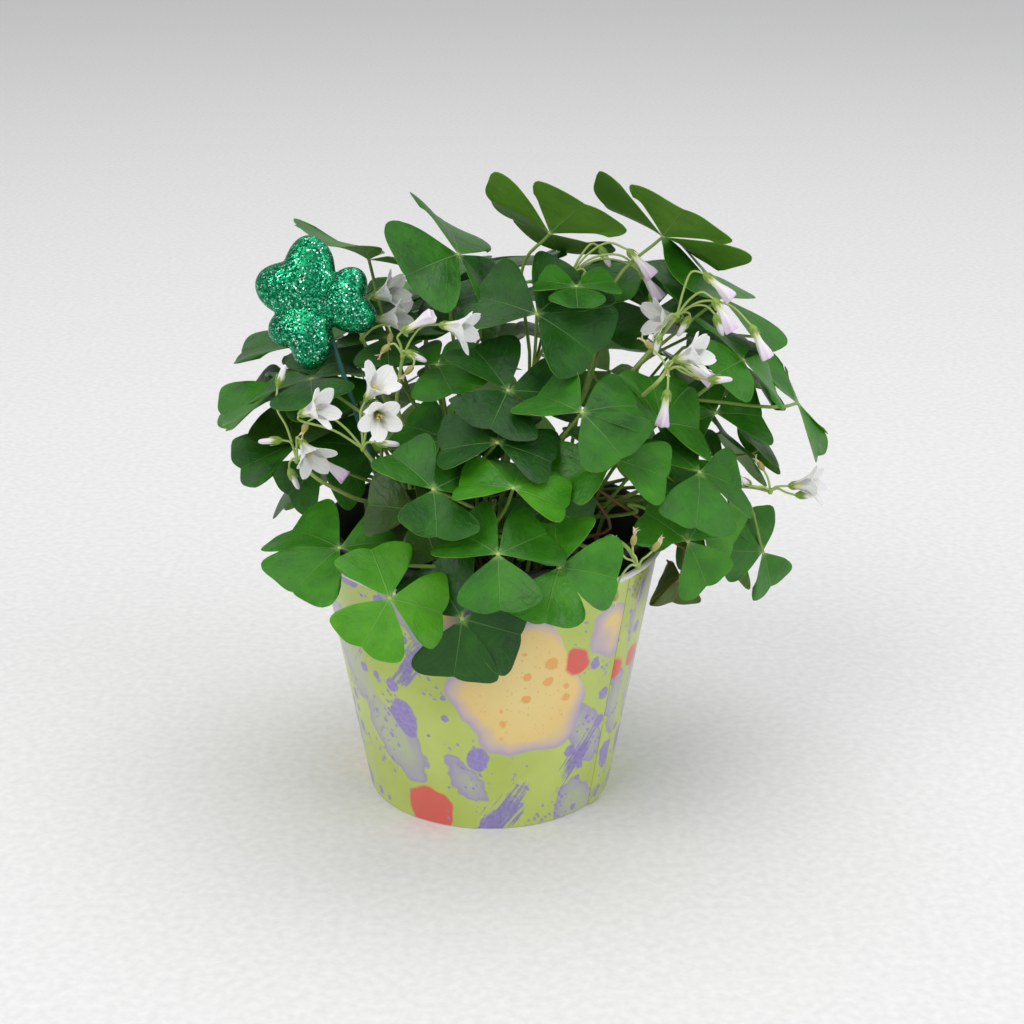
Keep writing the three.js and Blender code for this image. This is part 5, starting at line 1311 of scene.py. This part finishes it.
def glitter_material():
    """Craft foam, sprayed green and strewn with glitter: every flake lies tilted its own way, so a few flash.
    About one flake in twenty is painted near-white, a painted glint.
    Flakes are 0.2 mm wide, drawn at 0.6 mm, as finer ones don't show."""
    made, tree, shader = start_material("glitter strewn on green craft foam", Roughness=0.25, Metallic=0.85)
    where = add_node(tree, "ShaderNodeTexCoord", out="Object")
    chance = add_node(tree, "ShaderNodeTexVoronoi", {"Vector": where, "Scale": per_metre(0.6)}, out="Color")
    one, two, _ = add_node(tree, "ShaderNodeSeparateXYZ", {"Vector": chance}).node.outputs
    shade = add_node(tree, "ShaderNodeValToRGB", {"Fac": one},
                     stops=[(0.0, "#003f25"), (0.45, "#037449"), (0.8, "#0f9964"), (1.0, "#45cc98")])
    # Painted glints: the few flakes whose second draw is highest are painted near-white.
    painted_glint = add_node(tree, "ShaderNodeMapRange", {"Value": two, "From Min": 0.93, "From Max": 0.97,
                                                   "To Min": 0.0, "To Max": 1.0})
    body = add_node(tree, "ShaderNodeMix", {"Factor": painted_glint, "A": shade, "B": colour("#d8fff0")},
                    data_type="RGBA")
    tilt = add_node(tree, "ShaderNodeVectorMath", {0: chance, 1: (0.5, 0.5, 0.5)}, operation="SUBTRACT")
    tilt = add_node(tree, "ShaderNodeVectorMath", {0: tilt, "Scale": 0.42}, operation="SCALE")
    normal = add_node(tree, "ShaderNodeNewGeometry", out="Normal")
    tilted = add_node(tree, "ShaderNodeVectorMath", {0: normal, 1: tilt}, operation="ADD")
    tilted = add_node(tree, "ShaderNodeVectorMath", {0: tilted}, operation="NORMALIZE")
    fill(tree, shader, {"Base Color": body, "Normal": tilted})
    return made


def stick_material():
    """Dyed wooden pick: dark blue-green dye, darker and lighter along the grain, which runs lengthwise."""
    made, tree, shader = start_material("dyed wood stick", Roughness=0.45, IOR=1.5)
    # The layout is the share of the stick's 157 mm and the way round its 1.2 mm radius in radians, so that
    # grain comes out 9 mm long and 0.1 mm wide.
    uv = add_node(tree, "ShaderNodeUVMap", uv_map="layout")
    long_grain = add_node(tree, "ShaderNodeMapping", {"Vector": uv, "Scale": (3.0, 2.0, 1.0)})
    grain = add_node(tree, "ShaderNodeTexNoise", {"Vector": long_grain, "Scale": 6.0, "Detail": 4.0})
    body = add_node(tree, "ShaderNodeValToRGB", {"Fac": grain}, stops=[(0.3, "#063d35"), (0.7, "#0f6152")])
    bump = add_node(tree, "ShaderNodeBump", {"Strength": 0.3, "Distance": 0.3 * MM, "Height": grain})
    fill(tree, shader, {"Base Color": body, "Normal": bump})
    return made


def plastic_material():
    """Black vacuum-formed plastic of a nursery pot: satin, with dust and scuffs in patches 17 mm wide."""
    made, tree, shader = start_material("black vacuum-formed plastic", IOR=1.5, Specular_IOR_Level=0.4)
    where = add_node(tree, "ShaderNodeTexCoord", out="Object")
    dust = add_node(tree, "ShaderNodeTexNoise", {"Vector": where, "Scale": per_metre(16.7), "Detail": 6.0})
    body = add_node(tree, "ShaderNodeValToRGB", {"Fac": dust}, stops=[(0.35, "#1b1a19"), (0.75, "#34312e")])
    rough = add_node(tree, "ShaderNodeMapRange", {"Value": dust, "To Min": 0.38, "To Max": 0.62})
    fill(tree, shader, {"Base Color": body, "Roughness": rough})
    return made


def soil_material():
    """Damp peat potting mix: dark brown, with fibres and crumbs 3 mm wide that catch the light."""
    made, tree, shader = start_material("damp peat potting mix", Roughness=0.95, IOR=1.35)
    where = add_node(tree, "ShaderNodeTexCoord", out="Object")
    crumbs = add_node(tree, "ShaderNodeTexNoise", {"Vector": where, "Scale": per_metre(3.125), "Detail": 6.0,
                                                   "Roughness": 0.7})
    body = add_node(tree, "ShaderNodeValToRGB", {"Fac": crumbs},
                    stops=[(0.3, "#15100b"), (0.55, "#2c2117"), (0.8, "#4a3826")])
    bump = add_node(tree, "ShaderNodeBump", {"Strength": 0.9, "Distance": 1.5 * MM, "Height": crumbs})
    fill(tree, shader, {"Base Color": body, "Normal": bump})
    return made


def perlite_material():
    """Perlite, the white popped grains in potting mix: chalky, a little dirty, with pits 2 mm wide."""
    made, tree, shader = start_material("popped perlite grain", Roughness=0.9, IOR=1.5)
    where = add_node(tree, "ShaderNodeTexCoord", out="Object")
    dirt = add_node(tree, "ShaderNodeTexNoise", {"Vector": where, "Scale": per_metre(2), "Detail": 4.0})
    body = add_node(tree, "ShaderNodeValToRGB", {"Fac": dirt}, stops=[(0.3, "#8b8071"), (0.65, "#d9d4c8")])
    bump = add_node(tree, "ShaderNodeBump", {"Strength": 0.6, "Distance": 0.6 * MM, "Height": dirt})
    fill(tree, shader, {"Base Color": body, "Normal": bump})
    return made


def bare_card_material():
    """The unprinted side of coated carton card: warm white, matt, with short paper fibres, drawn 1.1 mm wide
    as real ones are too fine to show."""
    made, tree, shader = start_material("bare carton card", Roughness=0.6, IOR=1.5)
    where = add_node(tree, "ShaderNodeTexCoord", out="Object")
    fibres = add_node(tree, "ShaderNodeTexNoise", {"Vector": where, "Scale": per_metre(1.11), "Detail": 3.0})
    body = add_node(tree, "ShaderNodeValToRGB", {"Fac": fibres}, stops=[(0.3, "#dcdad4"), (0.7, "#eceae6")])
    bump = add_node(tree, "ShaderNodeBump", {"Strength": 0.12, "Distance": 0.2 * MM, "Height": fibres})
    fill(tree, shader, {"Base Color": body, "Normal": bump})
    return made


def splashes(tree, layout, spacing, low, high, ragged, offset, longer=1.0, turn=0):
    """Splashes of paint, one in some of the cells of a grid about so many mm wide, drawn out lengthwise and
    turned. Gives how deep a point lies in one, as a share of a cell: below zero is outside."""
    placed = add_node(tree, "ShaderNodeMapping", {"Vector": layout, "Location": (*offset, 0),
                                                  "Rotation": (0, 0, math.radians(turn)),
                                                  "Scale": (1, longer, 1)}, vector_type="TEXTURE")
    # The edge wanders by so many mm, in bends a third as wide as the splash.
    wobble = add_node(tree, "ShaderNodeTexNoise", {"Vector": layout, "Scale": 3 / spacing, "Detail": 2.0},
                      out="Color")
    wobble = add_node(tree, "ShaderNodeVectorMath", {0: wobble, 1: (0.5, 0.5, 0.5)}, operation="SUBTRACT")
    wobble = add_node(tree, "ShaderNodeVectorMath", {0: wobble, "Scale": ragged}, operation="SCALE")
    placed = add_node(tree, "ShaderNodeVectorMath", {0: placed, 1: wobble}, operation="ADD")
    cells = add_node(tree, "ShaderNodeTexVoronoi", {"Vector": placed, "Scale": 1 / spacing,
                                                    "Randomness": 0.8}, voronoi_dimensions="2D")
    chance = add_node(tree, "ShaderNodeSeparateXYZ", {"Vector": cells.node.outputs["Color"]})
    size = add_node(tree, "ShaderNodeMapRange", {"Value": chance, "From Min": 0.3, "From Max": 1.0,
                                                 "To Min": low, "To Max": high})
    return add_node(tree, "ShaderNodeMath", {0: size, 1: cells}, operation="SUBTRACT")


def paint(tree, under, shade, depth, soft, opacity=1.0):
    """Lays a paint over what is under it wherever depth is above zero, with an edge that soft."""
    cover = add_node(tree, "ShaderNodeMapRange", {"Value": depth, "From Min": 0.0, "From Max": soft,
                                                  "To Min": 0.0, "To Max": opacity})
    return add_node(tree, "ShaderNodeMix", {"Factor": cover, "A": under, "B": shade}, data_type="RGBA")


def printed_card_material():
    """Carton card, offset printed with splashes of paint and varnished: satin, with clear edges to the print
    and a hint of the card's fibres. The layout is in mm, from the seam round and from the table up."""
    made, tree, shader = start_material("printed and varnished carton card", Roughness=0.32, IOR=1.5,
                                        Coat_Weight=0.25, Coat_Roughness=0.2)
    layout = add_node(tree, "ShaderNodeUVMap", uv_map="layout")
    # A lime wash, uneven over 33 mm, and paints that vary over 2 mm.
    wash = add_node(tree, "ShaderNodeTexNoise", {"Vector": layout, "Scale": 1 / 33, "Detail": 3.0})
    body = add_node(tree, "ShaderNodeValToRGB", {"Fac": wash}, stops=[(0.35, "#b0c057"), (0.7, "#bfce6c")])
    grain = add_node(tree, "ShaderNodeTexNoise", {"Vector": layout, "Scale": 1 / 2, "Detail": 5.0})
    purple = add_node(tree, "ShaderNodeValToRGB", {"Fac": grain}, stops=[(0.3, "#7665b0"), (0.7, "#9183c6")])
    lilac = add_node(tree, "ShaderNodeValToRGB", {"Fac": grain}, stops=[(0.3, "#8977b8"), (0.7, "#9d8fcb")])
    # Washed-out leaf shapes: lilac where the paint gathered at the edge, grey-green inside.
    thin = splashes(tree, layout, 30, 0.06, 0.6, 10.0, (31, 12), longer=2.0, turn=34)
    thin_paint = add_node(tree, "ShaderNodeValToRGB", {"Fac": thin},
                          stops=[(0.0, "#8d7dbd"), (0.07, "#a69dbd"), (0.25, "#b2b9a0")])
    body = paint(tree, body, thin_paint, thin, 0.03, 0.85)
    # Brush strokes on a slant, with dry streaks left by the bristles, 1.4 mm apart.
    stroke = splashes(tree, layout, 20, -0.2, 0.5, 3.0, (5, 40), longer=3.6, turn=-38)
    bristles = add_node(tree, "ShaderNodeMapping", {"Vector": layout, "Rotation": (0, 0, math.radians(-38)),
                                                    "Scale": (1, 14, 1)}, vector_type="TEXTURE")
    bristles = add_node(tree, "ShaderNodeTexNoise", {"Vector": bristles, "Scale": 1 / 1.4, "Detail": 2.0})
    dry = add_node(tree, "ShaderNodeMath", {0: bristles, 1: 0.9, 2: stroke}, operation="MULTIPLY_ADD")
    dry = add_node(tree, "ShaderNodeMath", {0: dry, 1: 0.5}, operation="SUBTRACT")
    body = paint(tree, body, purple, dry, 0.1, 0.88)
    # Lilac drops of two sizes.
    splat = splashes(tree, layout, 30, -0.5, 0.4, 7.0, (9, 2), longer=1.3, turn=20)
    body = paint(tree, body, lilac, splat, 0.03, 0.95)
    drops = splashes(tree, layout, 9, -0.9, 0.42, 1.5, (4, 1))
    body = paint(tree, body, lilac, drops, 0.05, 0.95)
    # Big warm patches laid over all that, with a soft lilac edge, and orange drops and specks well inside.
    patch = splashes(tree, layout, 80, 0.05, 0.42, 22.0, (6, 40), longer=1.3, turn=12)
    warm = add_node(tree, "ShaderNodeValToRGB", {"Fac": patch},
                    stops=[(0.0, "#a694c6"), (0.05, "#c9b6b0"), (0.11, "#e8ca80"), (0.4, "#edd68f")])
    body = paint(tree, body, warm, patch, 0.02)
    inner = add_node(tree, "ShaderNodeMath", {0: patch, 1: 0.08}, operation="SUBTRACT")
    freckle = splashes(tree, layout, 10, -0.25, 0.34, 2.5, (3, 5))
    freckle = add_node(tree, "ShaderNodeMath", {0: freckle, 1: inner}, operation="MINIMUM")
    body = paint(tree, body, colour("#e9a45a"), freckle, 0.05, 0.85)
    speckle = splashes(tree, layout, 2.0, -0.3, 0.3, 0.6, (2, 1))
    speckle = add_node(tree, "ShaderNodeMath", {0: speckle, 1: inner}, operation="MINIMUM")
    body = paint(tree, body, colour("#cda064"), speckle, 0.1, 0.5)
    # A few red blots, and fine spatter in drifts beside the patches.
    blot = splashes(tree, layout, 80, -0.4, 0.2, 20.0, (-42, 38))
    body = paint(tree, body, colour("#dc5652"), blot, 0.02, 0.95)
    drift = add_node(tree, "ShaderNodeTexNoise", {"Vector": layout, "Scale": 1 / 22, "Detail": 2.0})
    drift = add_node(tree, "ShaderNodeMath", {0: drift, 1: 0.52}, operation="SUBTRACT")
    spatter = splashes(tree, layout, 2.6, -0.1, 0.5, 0.8, (1, 2), longer=1.3, turn=40)
    spatter = add_node(tree, "ShaderNodeMath", {0: spatter, 1: drift}, operation="MINIMUM")
    beside = add_node(tree, "ShaderNodeMath", {0: 0.0, 1: patch}, operation="SUBTRACT")
    spatter = add_node(tree, "ShaderNodeMath", {0: spatter, 1: beside}, operation="MINIMUM")
    body = paint(tree, body, lilac, spatter, 0.03, 0.8)
    # The card's fibres are drawn 1.4 mm wide; real ones are too fine to show.
    where = add_node(tree, "ShaderNodeTexCoord", out="Object")
    fibres = add_node(tree, "ShaderNodeTexNoise", {"Vector": where, "Scale": per_metre(1.4), "Detail": 2.0})
    bump = add_node(tree, "ShaderNodeBump", {"Strength": 0.06, "Distance": 0.2 * MM, "Height": fibres})
    fill(tree, shader, {"Base Color": body, "Normal": bump})
    return made


def floor_material():
    """Pale studio table cover, felted and matt, with tufts 4.5 mm wide."""
    made, tree, shader = start_material("pale felted table cover", Roughness=0.9, IOR=1.4)
    where = add_node(tree, "ShaderNodeTexCoord", out="Object")
    felt = add_node(tree, "ShaderNodeTexNoise", {"Vector": where, "Scale": per_metre(4.55), "Detail": 3.0})
    body = add_node(tree, "ShaderNodeValToRGB", {"Fac": felt}, stops=[(0.3, "#dddcdb"), (0.7, "#e7e6e5")])
    fill(tree, shader, {"Base Color": body})
    return made


FINISH = {
    "leaf_top": leaf_material("shamrock leaf as grown",
                              [(0.0, "#143d14"), (0.3, "#205610"), (0.6, "#347a10"), (1.0, "#579f16")],
                              "#86a860", roughness=0.4, rib_strength=0.3, blush=0.3),
    "leaf_under": leaf_material("underside of a shamrock leaf",
                                [(0.0, "#44691f"), (0.5, "#5a8828"), (1.0, "#74a236")],
                                "#93a86c", roughness=0.55, rib_strength=0.4, blush=0.9),
    "stalk": stalk_material(),
    "calyx": calyx_material(),
    "petal": petal_material(),
    "dried": dried_material(),
    "anther": anther_material(),
    "glitter": glitter_material(),
    "stick": stick_material(),
    "black_plastic": plastic_material(),
    "soil": soil_material(),
    "perlite": perlite_material(),
    "card_bare": bare_card_material(),
    "card_print": printed_card_material(),
}


# ---- Putting it together ----
def members(node):
    """Which crowns and which flower heads a node's name lists, numbered from 0."""
    found = {"leaves": [], "flowers": []}
    for word in node.split("_"):
        if word in found:
            numbers = found[word]
        else:
            numbers.append(int(word) - 1)
    return found["leaves"], found["flowers"]


def make_sprays():
    """One piece of foliage and one of flowers for each node of the plant. Each leaf and each flower head has
    random draws of its own."""
    for node in sorted(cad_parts):
        if not node.startswith(("leaves", "flowers")):
            continue
        crowns_here, umbels_here = members(node)
        foliage, blossom = Shape(), Shape()
        for k in range(len(leaves.hub)):
            if leaves.crown[k] in crowns_here:
                add_leaf(foliage, k, np.random.default_rng(SEEDS["leaves"] + k))
        for k in umbels_here:
            add_umbel(blossom, k, np.random.default_rng(SEEDS["flowers"] + k))
        if foliage.count:
            foliage.build("foliage_" + node, node, "foliage")
        if blossom.count:
            blossom.build("blossom_" + node, node, "blossom")


SEEDS = dict(leaves=1000, flowers=2000, tones=7, soil=3)
REDDISH = {33: 1.0, 16: 0.6, 15: 0.4, 44: 0.3}        # how reddish brown the underside of some leaves is
HIDDEN_TONES = (0.15, 0.6)
tones = np.random.default_rng(SEEDS["tones"])
leaves.tint = np.column_stack([
    [*(row[-1] for row in LEAVES), *tones.uniform(*HIDDEN_TONES, HIDDEN)],
    [REDDISH.get(k, 0) for k in range(len(leaves.hub))],
    np.zeros(len(leaves.hub)),
])

make_sprays()
make_pot_cover()
make_nursery_pot()
make_soil(np.random.default_rng(SEEDS["soil"]))
make_pick_head()
make_pick_stick()


# ---- Stage ----
# Place in metres, pitch down in degrees, focal length and width of the frame in pixels, sensor in mm.
CAMERA = dict(place=(0.011, -0.950, 0.4905), pitch=20.33, focal=2119, image=1024, sensor=36)
LIGHTS = [
    # name, place and size in metres, watts, colour
    ("key", (-1.3, -1.5, 2.1), 1.8, 27, "#fffefc"),
    ("fill", (1.7, -1.2, 1.3), 2.2, 16, "#f8faff"),
    ("top", (0.2, 0.6, 2.4), 2.4, 22, "#ffffff"),
]
LIT = (0, 0, 0.15)                     # what the lights face: the middle of the plant
ROOM = dict(shade="#eef0f2", strength=0.68)
FLOOR_SIZE = 30                        # metres, so that its edge is far off


def make_camera():
    data = bpy.data.cameras.new("camera")
    data.lens = CAMERA["focal"] / CAMERA["image"] * CAMERA["sensor"]
    data.sensor_width = CAMERA["sensor"]
    camera = link("camera", data)
    camera.location = CAMERA["place"]
    camera.rotation_euler = (math.radians(90 - CAMERA["pitch"]), 0, 0)
    bpy.context.scene.camera = camera


def make_lights():
    for name, where, size, power, shade in LIGHTS:
        data = bpy.data.lights.new(name, "AREA")
        data.shape, data.size, data.energy, data.color = "DISK", size, power, colour(shade)[:3]
        lamp = link(name, data)
        lamp.location = where
        x, y, z = np.subtract(LIT, where)
        lamp.rotation_euler = (math.atan2(math.hypot(x, y), -z), 0, math.atan2(y, x) - math.pi / 2)
    world = bpy.data.worlds.new("studio")
    world.use_nodes = True
    fill(world.node_tree, world.node_tree.nodes["Background"],
         {"Color": colour(ROOM["shade"]), "Strength": ROOM["strength"]})
    bpy.context.scene.world = world


def make_floor():
    half = FLOOR_SIZE / 2
    mesh = bpy.data.meshes.new("floor")
    mesh.from_pydata([(-half, -half, 0), (half, -half, 0), (half, half, 0), (-half, half, 0)], [],
                     [(0, 1, 2, 3)])
    mesh.materials.append(floor_material())
    link("floor", mesh)


make_camera()
make_lights()
make_floor()
bpy.context.scene.view_settings.view_transform = "Standard"
